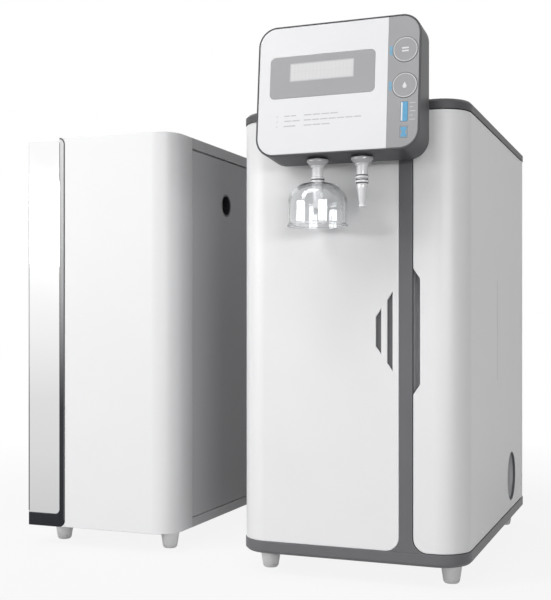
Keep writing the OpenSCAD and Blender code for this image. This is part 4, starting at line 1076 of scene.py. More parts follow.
@dataclass
class ControlHead:
    """Housing, face, display, buttons and lights, placed in millimetres on the head's face.

    A row of the legend is its height and the left end and length of each of its bars.
    """

    skins: tuple[Skin, ...] = (
        ("head_housing", "head_shell", 0.8, HEAD_ABS), ("head_back_plate", "head_back", 0.5, HEAD_ABS),
        ("face_plate", "face_overlay", 0.35, FACE_FILM), ("button_panel", "key_field", 0.25, PANEL_FILM),
        ("display_window", "window_lens", 0.45, WINDOW_ACRYLIC), ("head_bracket", "head_arm", 0.8, HEAD_ABS))
    ink_t: float = 0.06
    sunk: float = 0.02
    legend: tuple[tuple[float, tuple[Point, ...]], ...] = (
        (41.6, ((22.6, 1.2), (30.5, 14.0), (51.9, 37.5))),
        (36.3, ((22.6, 1.2), (30.5, 18.0), (51.9, 62.0))),
        (31.0, ((22.6, 1.2), (30.5, 13.0), (51.9, 29.0))))
    bar_l: float = 9.0
    bar_h: float = 1.15
    bar_gap: float = 1.1
    display_at: Point = (70.0, 86.95)
    keys: tuple[tuple[str, float], ...] = (("button_upper", 100.4), ("button_lower", 64.2))
    key_x: float = 157.2
    key_proud: float = 0.5
    guide_x: float = 142.6
    level_at: Point = (154.7, 37.7)
    level_pitch: float = 4.2
    flow_at: Point = (157.1, 17.2)

    def ink(self, name: str, outline: Sequence[Point], finish: Finish, x: float, y: float, node: str,
            out: float = 0.0) -> None:
        """Prints a flat mark on the head's face.

        Args:
            name: Name of the mark.
            outline: Its edge.
            finish: Its ink.
            x: Its place from the head's left side.
            y: Its place up the face.
            node: CAD node that carries it.
            out: Height of the carrying surface.
        """
        show(name, plate(outline, self.ink_t + self.sunk), finish, on_face(x, y, out - self.sunk), on=node)

    def build(self) -> None:
        """Builds the whole head."""
        soften_all(self.skins)
        self.legends()
        self.buttons()
        self.lights()

    def legends(self) -> None:
        """Builds the plain bars that stand for the legend, and the bright field of the display."""
        bars = []
        for y, row in self.legend:
            for left, length in row:
                count = max(1, round(length / self.bar_l))
                width = length / count - (self.bar_gap if count > 1 else 0)
                for k in range(count):
                    place = Matrix.Translation((left + length * (k + 0.5) / count, y, -self.sunk))
                    bars.append((plate(box_outline(width, self.bar_h, 0.3, 2), self.ink_t), place))
        show("legend_bars", joined(bars), GREY_INK, on_face(0, 0), on="face_plate")
        self.ink("display_field", box_outline(66.6, 17.1, 0.6), LCD_CELLS, *self.display_at, "display_window")
        self.ink("display_frame", box_outline(68.6, 19.1, 1.0), GREY_INK, *self.display_at, "display_window", -0.03)

    def buttons(self) -> None:
        """Builds the two round buttons with their rings and marks."""
        for i, (node, y) in enumerate(self.keys):
            soften(node, f"{node}_cap", 0.6, PANEL_FILM)
            ring = lathe([(11.45, 0), (11.95, 0), (11.95, 0.08), (11.45, 0.08)], 96)
            show(f"{node}_ring", ring, PALE_INK, on_face(self.key_x, y, self.key_proud - self.sunk), on=node)
            self.ink(f"blue_guide_mark_{i + 1}", box_outline(3.0, 9.5, 0.8), BLUE_INK, self.guide_x, y, "button_panel")
        (upper, upper_y), (lower, lower_y) = self.keys
        turns = [math.radians(150 + 240 * k / 20) for k in range(21)]
        drop = [(2.1 * math.cos(a), 2.1 * math.sin(a) - 1.0) for a in turns] + [(0, 3.4)]
        self.ink("drop_mark", drop, PALE_INK, self.key_x, lower_y, lower, self.key_proud)
        for name, y in (("upper", 1.5), ("lower", -1.5)):
            self.ink(f"select_mark_{name}", box_outline(7.0, 1.5, 0.5), PALE_INK, self.key_x, upper_y + y, upper,
                     self.key_proud)

    def lights(self) -> None:
        """Builds the level bar and the flow lamp."""
        soften("status_lights", "light_guides", 0.3, BLUE_GUIDE)
        self.ink("level_line", box_outline(1.7, 18.6, 0.3), PALE_INK, *self.level_at, "status_lights")
        for i in range(5):
            length, x = (5.6, 165.6) if i % 2 == 0 else (3.4, 164.5)
            self.ink(f"level_tick_{i + 1}", box_outline(length, 0.45), PALE_INK, x,
                     self.level_at[1] + self.level_pitch * (i - 2), "button_panel")
        self.ink("flow_lens", box_outline(6.7, 10.9, 0.4), PANEL_FILM, *self.flow_at, "status_lights")
        lower = [(2.9, -4.8), (2.9, -2.6), (1.3, 0), (-1.3, 0), (-2.9, -2.6), (-2.9, -4.8)]
        for name, side in (("flow_upper", -1), ("flow_lower", 1)):
            outline = [(side * x, side * y) for x, y in reversed(lower)]
            self.ink(name, outline, BLUE_GUIDE, *self.flow_at, "status_lights", self.ink_t)


@dataclass
class Outlets:
    """The two outlets under the head and the clear bell of the final filter.

    The heights are those of the head's underside, the necks' foot, the tips and the stem's collar.
    """

    x_bell: float = 107.6
    x_barb: float = 155.4
    y: float = -38.0
    under: float = 444.145
    neck_end: float = 425.6
    tip: float = 393.1
    collar: float = 413.6
    bell_z: float = 374.6
    bore_r: float = 2.0
    spigot_h: float = 14.0

    def top(self) -> list[Corner]:
        """Gives the collar and neck that both outlets share, from the foot of the neck up to the bore."""
        u = self.under
        return [(5.7, self.neck_end + 0.01, 0), (5.7, u - 8.5, 0), (7.3, u - 8.5, 0.4), (7.3, u - 6.5, 0.3),
                (8.3, u - 6.5, 0.3), (10.7, u - 3.5, 0.2), (11.3, u - 3.5, 0.4), (11.3, u - 0.9, 0.3),
                (4.3, u - 0.9, 0), (4.3, u + 18, 0), (self.bore_r, u + 18, 0)]

    def build(self) -> None:
        """Builds both outlets, the stem, the dark rings of painted shade in their grooves, and the bell."""
        n, tip, bore, collar, top = self.neck_end, self.tip, self.bore_r, self.collar, self.neck_end - 0.3
        at_bell, at_barb = seat(self.x_bell, self.y, 0), seat(self.x_barb, self.y, 0)
        foot = n - self.spigot_h
        bell_nozzle = [(bore, foot, 0), (4.0, foot, 0.5), (4.0, n, 0), *self.top()]
        show("bell_outlet", lathe(rounded(bell_nozzle)), OUTLET_COLLAR_SHADE_POM, at_bell, "bell_nozzle")
        barb = [(bore, tip, 0.2), (3.4, tip, 0.5), (3.4, tip + 2.3, 0.6), (2.95, tip + 2.6, 0), (5.3, n - 13, 0.4),
                (5.3, n - 8, 0.3), (7.1, n - 8, 0.5), (7.1, n - 5.8, 0.5), (5.3, n - 5.8, 0.3), (5.3, n - 3.5, 0.3),
                (7.1, n - 3.5, 0.5), (7.1, n - 1.3, 0.5), (5.3, n - 1.3, 0.3), (5.3, n, 0), *self.top()]
        show("barb_outlet", lathe(rounded(barb)), OUTLET_COLLAR_SHADE_POM, at_barb, "barb_nozzle")
        stem = [(bore, tip, 0), (4.2, tip, 0.5), (5.2, collar, 0), (6.2, collar, 0.4), (6.2, collar + 6.2, 0),
                (7.1, collar + 6.2, 0.5), (7.1, collar + 8.4, 0.5), (6.2, collar + 8.4, 0.2), (6.2, top - 2.2, 0.2),
                (7.1, top - 2.2, 0.5), (7.1, top, 0.5), (4.05, top, 0), (4.05, foot, 0), (bore, foot, 0)]
        show("final_filter_stem", lathe(rounded(stem)), OUTLET_COLLAR_SHADE_POM, at_bell, "bell_stem")
        # Dark rubber rings sit in the grooves so that these show dark: painted shade.
        for name, place, node, base, spots in (
                ("barb", at_barb, "barb_nozzle", 5.0, (n - 0.95, n - 5.3, n - 8.9)),
                ("stem", at_bell, "bell_stem", 5.9, (top - 2.75, collar + 8.7))):
            rings = [(lathe(rounded([(base, z, 0), (base + 1.2, z, 0.4), (base + 1.2, z + 0.85, 0.4),
                                     (base, z + 0.85, 0)], 3)), Matrix.Identity(4)) for z in spots]
            show(f"{name}_seal_rings", joined(rings), DARK_RUBBER_PAINTED_SHADE, place, on=node)
        show("final_filter_bell", lathe(self.bell(), 128), CLEAR_PC, seat(self.x_bell, self.y, self.bell_z),
             "bell_cover")

    def bell(self) -> list[Point]:
        """Gives the half section of the bell's wall, with its flared lip."""
        flat, wall, top, drop, t = 9.2, 30.2, 45.0, 20.0, 1.6
        turns = [math.radians(90 * i / 18) for i in range(19)]
        outer = [(flat + (wall - flat) * math.sin(a), top - drop * (1 - math.cos(a))) for a in turns]
        inner_wall, inner_top = wall - t, top - t
        inner = [(flat + (inner_wall - flat) * math.sin(a), inner_top - drop * (1 - math.cos(a))) for a in turns]
        lip = [(wall, 24.2), (wall, 14), (wall, 3.8), (wall, 3.2), (30.7, 2.3), (31.35, 1.7), (31.4, 0.5), (30.9, 0),
               (inner_wall + 0.5, 0), (inner_wall, 0.5)]
        hold = [(inner_wall, 1.2), (inner_wall, 14), (inner_wall, inner_top - drop - 0.8)]
        return [(6.25, inner_top), (6.25, top), *outer, *lip, *hold, *reversed(inner)]


# ---------- the pretreatment cabinet's outside ----------

@dataclass
class PretreatmentShells:
    """Shells, mirror strip and hose port of the pretreatment cabinet.

    The strip's corner is the room that its rounding takes across the front, back along the slant and upwards.
    """

    skins: tuple[Skin, ...] = (
        ("left_front_shell", "front_skin", 0.8, PRETREAT_WHITE_SHADED_FLANK), ("left_side_panel", "side_panel_skin", 0.6, SIDE_PANEL_PAINTED_SHADE),
        ("left_rear_shell", "rear_skin", 0.8, WHITE_ABS), ("left_base_pan", "pretreatment_pan", 0.5, PRETREAT_RIM_SHADED_SIDE),
        ("left_top_cap", "pretreatment_cap", 0.8, PRETREAT_RIM_SHADED_SIDE), ("strip_carrier", "strip_backing", 0.6, CARRIER_PAINTED_REFLECTION),
        ("mirror_strip", "mirror_plate", 0.35, MIRROR_CHROME_PAINTED_FADE), ("side_port_ring", "hose_port_bush", 0.6, BLACK_NYLON))
    corner: Corner = (6.0, 3.0, 9.0)
    bead: float = 1.5
    web_t: float = 0.25
    bead_t: float = 0.5

    def build(self) -> None:
        """Builds the outside of the cabinet."""
        soften_all(self.skins)
        low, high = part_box("mirror_strip")
        # The mirror's edge line darkens towards the foot: painted reflection.
        self.line("mirror_edge_line", 1.3, (low.z + 0.002, high.z - 0.002), low.x + 0.00075, low.y + 0.00004, 0.12,
                  EDGE_LINE_PAINTED_REFLECTION)
        low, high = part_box("strip_carrier")
        # A dark grey line along the carrier's outer edge stands in for the shadow gap there: painted shadow.
        self.line("strip_seal", 1.6, (low.z + 0.009, high.z - 0.009), high.x - 0.00035, low.y + 0.0027, 1.3,
                  DARK_RUBBER_PAINTED_SHADE)
        self.corners(low, high)

    def corners(self, low: Vector, high: Vector) -> None:
        """Rounds the strip's two right corners: white webs of the shell over them, and the bend at the head of the
        dark line of painted shadow.

        Args:
            low: Lowest corner of the strip's carrier in metres.
            high: Its highest corner.
        """
        across, back, tall = self.corner
        slant = math.hypot(across, back)
        turns = [math.radians(90 * k / 16) for k in range(17)]
        arc = [(slant * math.cos(t), tall * (1 - math.sin(t))) for t in turns]
        inner = [((slant - self.bead) * math.cos(t), tall - (tall - self.bead) * math.sin(t)) for t in turns]
        web, bend = [(slant, 0.0)] + arc, [(u, -v) for u, v in reversed(arc + inner[::-1])]
        turn = Matrix.Rotation(math.atan2(back, across), 4, "Z") @ Matrix.Rotation(math.radians(90), 4, "X")
        for name, outline, finish, node, thick, z in (
                ("strip_corner_lower", web, PRETREAT_WHITE_SHADED_FLANK, "left_front_shell", self.web_t, low.z),
                ("strip_corner_upper", [(u, -v) for u, v in reversed(web)], PRETREAT_WHITE_SHADED_FLANK, "left_front_shell",
                 self.web_t, high.z),
                ("strip_seal_bend", bend, DARK_RUBBER_PAINTED_SHADE, "strip_carrier", self.bead_t, high.z)):
            spot = Matrix.Translation((high.x - across * MM, low.y, z))
            show(name, plate(outline, thick), finish, spot @ turn @ Matrix.Scale(MM, 4), on=node)

    @staticmethod
    def line(name: str, width: float, rise: Point, x: float, y: float, thick: float, finish: Finish) -> None:
        """Lays a narrow upright bead or line on the front.

        Args:
            name: Name of the piece.
            width: Width in millimetres.
            rise: Lowest and highest point in metres.
            x: Its middle in metres.
            y: Its back in metres.
            thick: Thickness in millimetres.
            finish: Its material.
        """
        bead = plate(box_outline(width, (rise[1] - rise[0]) / MM, width * 0.2), thick)
        place = Matrix.Translation((x, y, sum(rise) / 2)) @ Matrix.Rotation(math.radians(90), 4, "X")
        show(name, bead, finish, place @ Matrix.Scale(MM, 4), on="strip_carrier")


# ---------- inside the dispensing cabinet ----------

def screw_head(radius: float, height: float) -> Mesh:
    """Makes a pan screw head with a cross recess.

    Args:
        radius: Radius of the head.
        height: Height of the head.

    Returns:
        The mesh, in millimetres, standing on Z 0.
    """
    slot, reach, top = radius * 0.16, radius * 0.62, height * 0.85
    turned: list[Point] = []
    for k in range(4):
        spin = Matrix.Rotation(math.radians(90 * k), 2)
        turned += [tuple(spin @ Vector(p)) for p in ((reach, -slot), (reach, slot), (slot, slot))]
    angles = [math.atan2(y, x) for x, y in turned]
    made = bmesh.new()
    rings = [[made.verts.new((x, y, z)) for x, y in turned] for z in (top - height * 0.45, top)]
    for r, z in ((radius * 0.8, top), (radius * 0.95, height * 0.6), (radius, height * 0.3), (radius, 0)):
        rings.append([made.verts.new((r * math.cos(a), r * math.sin(a), z)) for a in angles])
    for cap in (rings[0], rings[-1]):
        made.faces.new(cap)
    for low, high in zip(rings, rings[1:]):
        for i, j in zip(range(12), (*range(1, 12), 0)):
            made.faces.new((low[i], low[j], high[j], high[i]))
    return finished(made)


def dress(finish: Finish, *nodes: str) -> None:
    """Gives CAD nodes that stay in view their finish.

    Args:
        finish: The material.
        nodes: CAD nodes.
    """
    for node in nodes:
        for slot in frame["nodes"][node].material_slots:
            slot.material = finish.material()


def set_screws(copies: Copies, name: str, head: Point, gaps: Point, place: Matrix, on: str) -> None:
    """Sets four screws at the corners of a plate.

    Args:
        copies: Maker of the rows.
        name: Name of the piece.
        head: Radius and height of a head.
        gaps: Distances between the screws, both ways.
        place: Matrix that puts the set into the shared frame.
        on: CAD node that carries them.
    """
    heads = copies.rows(screw_head(*head), 2, 2, *gaps, NICKEL)
    show(name, heads, NICKEL, place, on=on)


@dataclass
class Cartridge:
    """A closed cartridge between two ribbed caps, with push-in fittings on top."""

    copies: Copies
    index: int
    node: str
    finish: Finish
    x: float = 190.0
    first_y: float = 75.0
    pitch: float = 92.0
    radius: float = 34.0
    cap_r: float = 36.0
    base: float = 31.5
    cap_h: float = 26.0
    body_h: float = 245.0
    band: Point = (120.0, 205.0)

    def build(self) -> None:
        """Builds the body, the caps' ribs, the label band and the fittings."""
        y = self.first_y + self.pitch * self.index
        top = self.base + 2 * self.cap_h + self.body_h
        low_cap, high_cap = self.base + self.cap_h, top - self.cap_h
        c, r = self.cap_r - 1.0, self.radius
        body = rounded([(0, self.base, 0), (c - 4, self.base, 1.5), (c, self.base + 4, 1.5), (c, low_cap, 0.8),
                        (r, low_cap, 0.4), (r, high_cap, 0.4), (c, high_cap, 0.8), (c, top - 4, 2.5),
                        (c - 8, top, 2.0), (0, top, 0)])
        show(f"{self.node}_shell", lathe(body, 72), self.finish, seat(self.x, y, 0), self.node)
        rib = plate(box_outline(1.6, 1.7, 0.5, 3), self.cap_h - 7, 0.3)
        for name, height in (("lower", self.base + 5), ("upper", high_cap + 2)):
            ring = self.copies.round(rib, 44, self.cap_r - 0.85, self.finish)
            show(f"{self.node}_{name}_ribs", ring, self.finish, seat(self.x, y, height), on=self.node)
        low, high = self.band
        band = rounded([(r - 0.4, low, 0), (r + 0.22, low, 0.1), (r + 0.22, high, 0.1), (r - 0.4, high, 0)])
        show(f"{self.node}_band", lathe(band, 72), WHITE_GLOSS, seat(self.x, y, 0), on=self.node)
        collet = lathe(rounded([(3.3, 0, 0), (6.0, 0, 0.3), (6.0, 7.2, 0.5), (5.2, 7.6, 0.2), (5.2, 9.0, 0.2),
                                (5.9, 9.0, 0.3), (5.9, 11.9, 0.6), (3.3, 11.9, 0.4)]), 40)
        pair = joined([(collet, Matrix.Translation((0, side, 0))) for side in (-14, 14)])
        show(f"{self.node}_fittings", pair, BLACK_NYLON, seat(self.x, y, top), on=self.node)


@dataclass
class WaterPath:
    """Cartridges, ultraviolet chamber, pump, valve and tubes.

    Stub, link and cross are the tubes' heights in the fittings, over the cartridges and under the lid.
    """

    copies: Copies
    sheets: tuple[Skin, ...] = (
        ("cartridge_rack", "rack_sheet", 0.5, ZINC_SHEET), ("main_divider", "divider_sheet", 0.4, ZINC_SHEET),
        ("pump_mount", "pump_cradle", 0.6, ZINC_SHEET))
    catch: tuple[Skin, ...] = (
        ("cover_magnet", "catch_magnet", 0.5, EPOXY_BLACK), ("cover_striker", "catch_striker", 0.4, BRUSHED_STEEL),
        ("hinge_pins", "cover_pins", 0.3, NICKEL))
    tube_r: float = 3.2
    bend: float = 9.0
    stub: float = 336.5
    link: float = 358.5
    cross: float = 473.6

    def build(self) -> None:
        """Builds the water path from the feed port to the outlets."""
        for i, (node, finish) in enumerate((("ro_housing", WHITE_PP), ("polishing_cartridge_1", BLUE_PP),
                                            ("polishing_cartridge_2", BLUE_PP))):
            Cartridge(self.copies, i, node, finish).build()
        soften_all(self.sheets, 2)
        soften_all(self.catch)
        self.ultraviolet()
        self.pump()
        self.valve()
        self.tubes()

    def ultraviolet(self) -> None:
        """Builds the steel chamber with its end nuts, and the lamp with its end caps."""
        shell = rounded([(8.1, 112.5, 0), (19, 112.5, 0.8), (22, 115.5, 1.2), (22, 122.5, 0.6), (21.2, 123.3, 0.4),
                         (21.2, 401.7, 0.4), (22, 402.5, 0.6), (22, 409.5, 1.2), (19, 412.5, 0.8), (8.1, 412.5, 0)])
        tube = lathe(shell + [(8.1, 412.4), (8.1, 112.6)], 72)
        stub = lathe(rounded([(3.3, 0, 0), (6, 0, 0.5), (6, 8.5, 0), (3.3, 8.5, 0)]), 40)
        mesh = joined([(tube, Matrix.Identity(4)),
                       (stub, Matrix.Translation((-28, 0, 132.5)) @ Matrix.Rotation(math.radians(90), 4, "Y"))])
        show("uv_tube", mesh, BRUSHED_STEEL, seat(102, 60, 0), "uv_chamber")
        lamp = rounded([(0, 106.5, 0), (7.4, 106.5, 0.8), (8, 107.5, 0.3), (8, 417.5, 0.3), (7.4, 418.5, 0.8),
                        (0, 418.5, 0)])
        show("uv_lamp_tube", lathe(lamp, 48), QUARTZ, seat(102, 60, 0), "uv_lamp")

    def pump(self) -> None:
        """Builds the motor can with its fins, the head with its screws and the rotor."""
        dress(NICKEL, "pump_rotor")
        dress(GREY_POWDER, "pump_motor")
        ring = self.copies.round(plate(box_outline(1.6, 1.2, 0.4, 2), 52, 0.3), 40, 27.2, GREY_POWDER)
        show("pump_motor_fins", ring, GREY_POWDER, seat(66, 129, 72.5, Axis.BACK), on="pump_motor")
        soften("pump_head", "pump_block", 1.2, BLACK_NYLON)
        set_screws(self.copies, "pump_block_screws", (3.2, 2.2), (40, 40), seat(66, 234.8, 72.5, Axis.BACK),
                   "pump_head")

    def valve(self) -> None:
        """Builds the valve's block, coil and plunger."""
        soften("valve_body", "valve_block", 0.7, BLACK_NYLON)
        dress(NICKEL, "valve_plunger")
        cap = lathe(rounded([(5.2, 0, 0), (12.2, 0, 0.6), (12.2, 1.6, 0.6), (7.5, 1.6, 0.3), (7.5, 3.4, 0.5),
                             (5.2, 3.4, 0)]), 48)
        show("valve_coil_cap", cap, ZINC_SHEET, seat(113, 315, 273.9), on="valve_body")

    def tubes(self) -> None:
        """Draws every inner tube along its route with rounded bends."""
        stub, link, cross = self.stub, self.link, self.cross
        routes = (
            [(190, 89, stub), (190, 89, link), (190, 153, link), (190, 153, stub)],
            [(190, 181, stub), (190, 181, link), (190, 245, link), (190, 245, stub)],
            [(155.4, -38, 462.145), (155.4, -38, cross), (155.4, 273, cross), (190, 273, cross), (190, 273, stub)],
            [(107.6, -38, 462.145), (107.6, -38, cross), (107.6, 240, cross), (107.6, 240, 225), (107.6, 300.5, 225)],
            [(66, 234.5, 84.5), (66, 422.5, 84.5)],
            [(60, 225, 97), (60, 225, 132.5), (60, 60, 132.5), (75, 60, 132.5)],
            [(113, 329.5, 225), (113, 422.5, 225)],
            [(190, 61, stub), (190, 61, 388.5), (205, 61, 388.5), (205, 422.5, 388.5)])
        parts = [(self.copies.tube(points, self.tube_r, self.bend if len(points) > 2 else 0.0, PE_TUBE),
                  Matrix.Identity(4)) for points in routes]
        show("inner_tubes", joined(parts), PE_TUBE, seat(0, 0, 0), "internal_tubing")


@dataclass
class Electrics:
    """Power supply, boards, display module, power inlet and rocker.

    The rocker's two wings lean from its middle; the mark's place is its height over the pivot and along a wing.
    """

    copies: Copies
    rocker_at: Corner = (190.0, 431.7, 95.5)
    rocker_tilt: float = 10.0
    wing: float = 9.93
    mark_at: Point = (2.86, 4.0)
    board_x: float = 118.4

    def build(self) -> None:
        """Builds the electrical parts."""
        soften("power_supply", "supply_case", 0.8, ZINC_SHEET, 2)
        set_screws(self.copies, "supply_case_screws", (2.6, 1.5), (106, 66),
                   seat(90.05, 170, 410, Axis.RIGHT, 90) @ Matrix.Rotation(math.pi, 4, "X"), "power_supply")
        dress(GREEN_BOARD, "control_board", "head_board")
        dress(WHITE_PP, "lcd_module")
        self.board()
        soften("power_inlet", "inlet_body", 0.5, BLACK_NYLON)
        soften("power_rocker", "rocker_cap", 0.5, BLACK_NYLON)
        base = seat(*self.rocker_at) @ Matrix.Rotation(math.radians(self.rocker_tilt), 4, "X")
        out, apart = self.mark_at
        for name, mark, side in (
                ("rocker_on_mark", plate(box_outline(1.0, 4.2, 0.3), 0.08), 1),
                ("rocker_off_mark", lathe([(1.5, 0), (2.2, 0), (2.2, 0.08), (1.5, 0.08)], 40), -1)):
            lean = Matrix.Rotation(math.radians(-90 + side * self.wing), 4, "X")
            show(name, mark, PALE_INK, base @ Matrix.Translation((0, out, side * apart)) @ lean, on="power_rocker")
        set_screws(self.copies, "inlet_screws", (2.4, 1.3), (27, 50), seat(190, 433.1, 82.5, Axis.BACK), "power_inlet")

    def board(self) -> None:
        """Puts chips, capacitors and terminal screws on the control board."""
        left = Matrix.Rotation(math.radians(-90), 4, "Y")
        chips = [(plate(box_outline(26, 26, 0.6), 0.5, 0.2), (115.4, 313, 403))]
        chips += [(plate(box_outline(5, 8, 0.3), 1.4, 0.2), (self.board_x, 264 + 12 * k, 378 - 12 * row))
                  for row in range(2) for k in range(5)]
        can = lathe(rounded([(4.6, 0, 0), (6.15, 0, 0.2), (6.15, 13.4, 0.6), (5.4, 14.1, 0.3), (0, 14.1, 0),
                             (0, 0, 0)]), 40)
        cans = [(can, (self.board_x, 345, 380 + 20 * k)) for k in range(3)]
        heads = [(screw_head(2.4, 1.0), (106.45, 264 + 28 * i + off, 357)) for i in range(4) for off in (4, 12)]
        for name, items, finish, slot in (("board_chips", chips, EPOXY_BLACK, "black_plastic"),
                                          ("board_capacitors", cans, BLUE_PP, "cartridge_blue"),
                                          ("terminal_screws", heads, NICKEL, "steel")):
            mesh = joined([(item, Matrix.Translation(spot) @ left) for item, spot in items])
            show(name, mesh, finish, seat(0, 0, 0), on="control_board")


@dataclass
class RearPorts:
    """Three bulkhead hose ports with hexagon nuts and barbs."""

    places: tuple[Point, ...] = ((66.0, 84.5), (113.0, 225.0), (205.0, 388.5))
    nut_r: float = 10.0
    nut_h: float = 5.9
    nut_y: float = 422.25

    def build(self) -> None:
        """Builds the three ports."""
        body = rounded([(0, 422.2, 0), (7, 422.2, 0.3), (7, 430.7, 0), (11, 430.7, 0.4), (11, 434.7, 0.8),
                        (5.6, 434.7, 0.3), (5.0, 437.2, 0.2), (5.0, 438.6, 0), (4.3, 438.8, 0), (5.0, 442.6, 0.2),
                        (4.3, 442.8, 0), (5.0, 446.6, 0.2), (4.3, 446.8, 0), (4.0, 450.7, 0.5), (2.5, 450.7, 0.3),
                        (2.5, 424.2, 0), (0, 424.2, 0)])
        turns = [math.radians(60 * k) for k in range(6)]
        hexagon = [(self.nut_r * math.cos(a), self.nut_r * math.sin(a), 0.8) for a in turns]
        nut = plate(rounded(hexagon, 3), self.nut_h, 0.5)
        parts = []
        for x, z in self.places:
            turn = Matrix.Translation((x, 0, z)) @ Matrix.Rotation(math.radians(-90), 4, "X")
            parts += [(lathe(body, 48), turn), (nut, turn @ Matrix.Translation((0, 0, self.nut_y)))]
        show("bulkhead_ports", joined(parts), BLACK_NYLON, seat(0, 0, 0), "rear_ports")


# ---------- inside the pretreatment cabinet ----------

@dataclass
class Prefilters:
    """Three prefilters on their bracket, and the storage tank."""

    copies: Copies
    filters: tuple[tuple[str, Finish], ...] = (
        ("sediment_filter", WHITE_PP), ("carbon_filter", BLACK_NYLON), ("softener_filter", BLUE_PP))

    def ribs(self, name: str, node: str, rib: Mesh, count: int, radius: float, finish: Finish, lift: float) -> None:
        """Sets upright ribs round a round node.

        Args:
            name: Name of the piece.
            node: CAD node.
            rib: A rib's mesh.
            count: Number of ribs.
            radius: Radius of their ring.
            finish: Their material.
            lift: Millimetres from the node's foot to theirs.
        """
        show(name, self.copies.round(rib, count, radius, finish), finish, stand(node, lift), on=node)

    def build(self) -> None:
        """Builds the filters and the tank."""
        soften("prefilter_bracket", "filter_bracket", 0.5, ZINC_SHEET, 2)
        for node, finish in self.filters:
            soften(node, f"{node}_housing", 1.2, finish)
            self.ribs(f"{node}_ribs", node, plate(box_outline(1.8, 1.6, 0.5, 3), 60, 0.4), 24, 27.6, finish, 12.0)
        soften("storage_tank", "tank_wall", 2.0, WHITE_PP)
        soften("tank_cap", "tank_lid", 1.2, BLUE_PP)
        low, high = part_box("tank_cap")
        rib = plate(box_outline(1.4, 1.6, 0.4, 3), (high.z - low.z) / MM - 3, 0.3)
        self.ribs("tank_lid_ribs", "tank_cap", rib, 36, (high.x - low.x) / MM / 2 - 0.6, BLUE_PP, 1.5)


# ---------- studio ----------

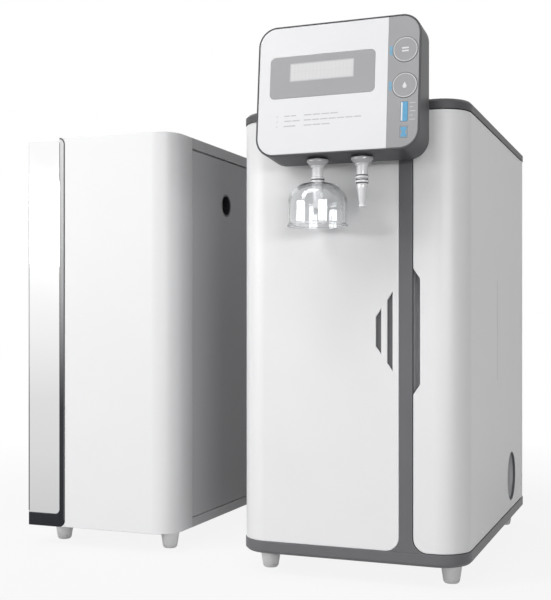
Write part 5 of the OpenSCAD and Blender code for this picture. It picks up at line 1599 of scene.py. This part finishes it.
@dataclass
class Studio:
    """Pale floor, soft lamps and the photograph's camera, in metres.

    The floor glows white where the background sees it, a little less near the object, from near to far.
    """

    floor_shade: str = "#c2c2c2"
    floor_seen: float = 0.88
    ambient: float = 0.05
    near: float = 0.45
    far: float = 1.2
    reach: float = 6.0
    camera_at: Corner = (0.4846, -1.2701, 0.277)
    camera_turn: float = 21.25
    lens: float = 63.12
    rise: float = 0.0355
    aim_z: float = 0.28

    def build(self) -> None:
        """Sets the stage."""
        self.floor()
        self.world()
        for name, azimuth, elevation, distance, size, power in (
                ("key", -40, 38, 3.4, (0.8, 1.9), 43), ("overhead", -12, 62, 3.2, (1.6, 1.0), 36),
                ("fill", 36, 34, 3.0, (0.5, 1.7), 8), ("low_left", -47, 7, 3.4, (2.3, 0.33), 25.5),
                ("low_right", 38, 7, 3.4, (1.9, 0.33), 26), ("back", -152, 34, 3.4, (1.8, 1.2), 33)):
            self.lamp(name, azimuth, elevation, distance, size, power)
        self.camera()

    @staticmethod
    def background_share(tree: Tree) -> Socket:
        """Gives 1 for the rays that see the background: the camera's, mirrored ones and those through glass.

        Args:
            tree: Node tree that asks.

        Returns:
            The share's output.
        """
        path = add_node(tree, "ShaderNodeLightPath")
        share = path.outputs["Is Camera Ray"]
        for kind in ("Is Glossy Ray", "Is Transmission Ray"):
            share = add_node(tree, "ShaderNodeMath", {"operation": "MAXIMUM"},
                             {0: share, 1: path.outputs[kind]}).outputs[0]
        return share

    def floor(self) -> None:
        """Lays the floor, which keeps the object's faint shadow."""
        made = bmesh.new()
        bmesh.ops.create_grid(made, x_segments=1, y_segments=1, size=self.reach)
        mesh = written(made)
        ground = bpy.data.objects.new("floor", mesh)
        bpy.context.scene.collection.objects.link(ground)
        finish = bpy.data.materials.new("studio_floor")
        finish.use_nodes = True
        tree = finish.node_tree
        tree.nodes.clear()
        matte = add_node(tree, "ShaderNodeBsdfDiffuse", inputs={"Color": srgb(self.floor_shade)})
        glow = add_node(tree, "ShaderNodeEmission", inputs={"Color": srgb("#ffffff"), "Strength": 1.0})
        place = add_node(tree, "ShaderNodeTexCoord")
        away = add_node(tree, "ShaderNodeVectorMath", {"operation": "LENGTH"}, {0: place.outputs["Object"]})
        clear = add_node(tree, "ShaderNodeMapRange", inputs={
            "Value": away.outputs["Value"], **span(self.floor_seen, 1.0, self.near, self.far)})
        seen = add_node(tree, "ShaderNodeMath", {"operation": "MULTIPLY"},
                        {0: self.background_share(tree), 1: clear.outputs[0]})
        mixed = add_node(tree, "ShaderNodeMixShader", inputs={
            0: seen.outputs[0], 1: matte.outputs[0], 2: glow.outputs[0]})
        add_node(tree, "ShaderNodeOutputMaterial", inputs={"Surface": mixed.outputs[0]})
        mesh.materials.append(finish)

    def world(self) -> None:
        """Lights the object softly from all round, against white."""
        world = bpy.data.worlds.new("studio_world")
        bpy.context.scene.world = world
        world.use_nodes = True
        tree = world.node_tree
        tree.nodes.clear()
        strength = add_node(tree, "ShaderNodeMapRange", inputs={
            "Value": self.background_share(tree), **span(self.ambient, 1.0, 0.0, 1.0)})
        sky = add_node(tree, "ShaderNodeBackground", inputs={
            "Color": srgb("#ffffff"), "Strength": strength.outputs[0]})
        add_node(tree, "ShaderNodeOutputWorld", inputs={"Surface": sky.outputs[0]})

    def lamp(self, name: str, azimuth: float, elevation: float, distance: float, size: Point, power: float) -> None:
        """Hangs a soft box that faces the object.

        Args:
            name: Name of the lamp.
            azimuth: Degrees round from the front, positive towards +X.
            elevation: Degrees above the object's middle.
            distance: Metres from the object's middle.
            size: Width and height in metres.
            power: Watts.
        """
        lamp = bpy.data.lights.new(name, "AREA")
        lamp.shape = "RECTANGLE"
        lamp.size, lamp.size_y = size
        lamp.energy = power
        box = bpy.data.objects.new(name, lamp)
        bpy.context.scene.collection.objects.link(box)
        a, e = math.radians(azimuth), math.radians(elevation)
        away = Vector((math.sin(a) * math.cos(e), -math.cos(a) * math.cos(e), math.sin(e)))
        box.location = Vector((0, 0, self.aim_z)) + away * distance
        box.rotation_euler = away.to_track_quat("Z", "Y").to_euler()

    def camera(self) -> None:
        """Stands the camera where the photograph was taken."""
        lens = bpy.data.cameras.new("camera")
        lens.lens = self.lens
        lens.sensor_width = 36
        lens.sensor_fit = "AUTO"
        lens.shift_y = self.rise
        view = bpy.data.objects.new("camera", lens)
        view.location = self.camera_at
        view.rotation_euler = (math.radians(90), 0, math.radians(self.camera_turn))
        bpy.context.scene.collection.objects.link(view)
        bpy.context.scene.camera = view


def main() -> None:
    """Builds the object's looks in order."""
    logging.basicConfig(level=logging.INFO, format="%(message)s")
    bpy.context.scene.view_settings.view_transform = "Standard"
    copies = Copies()
    for assembly in (DispensingShells(), Feet(copies), ControlHead(), Outlets(), PretreatmentShells(),
                     WaterPath(copies), Electrics(copies), RearPorts(), Prefilters(copies), Studio()):
        assembly.build()


if __name__ == "__main__":
    main()
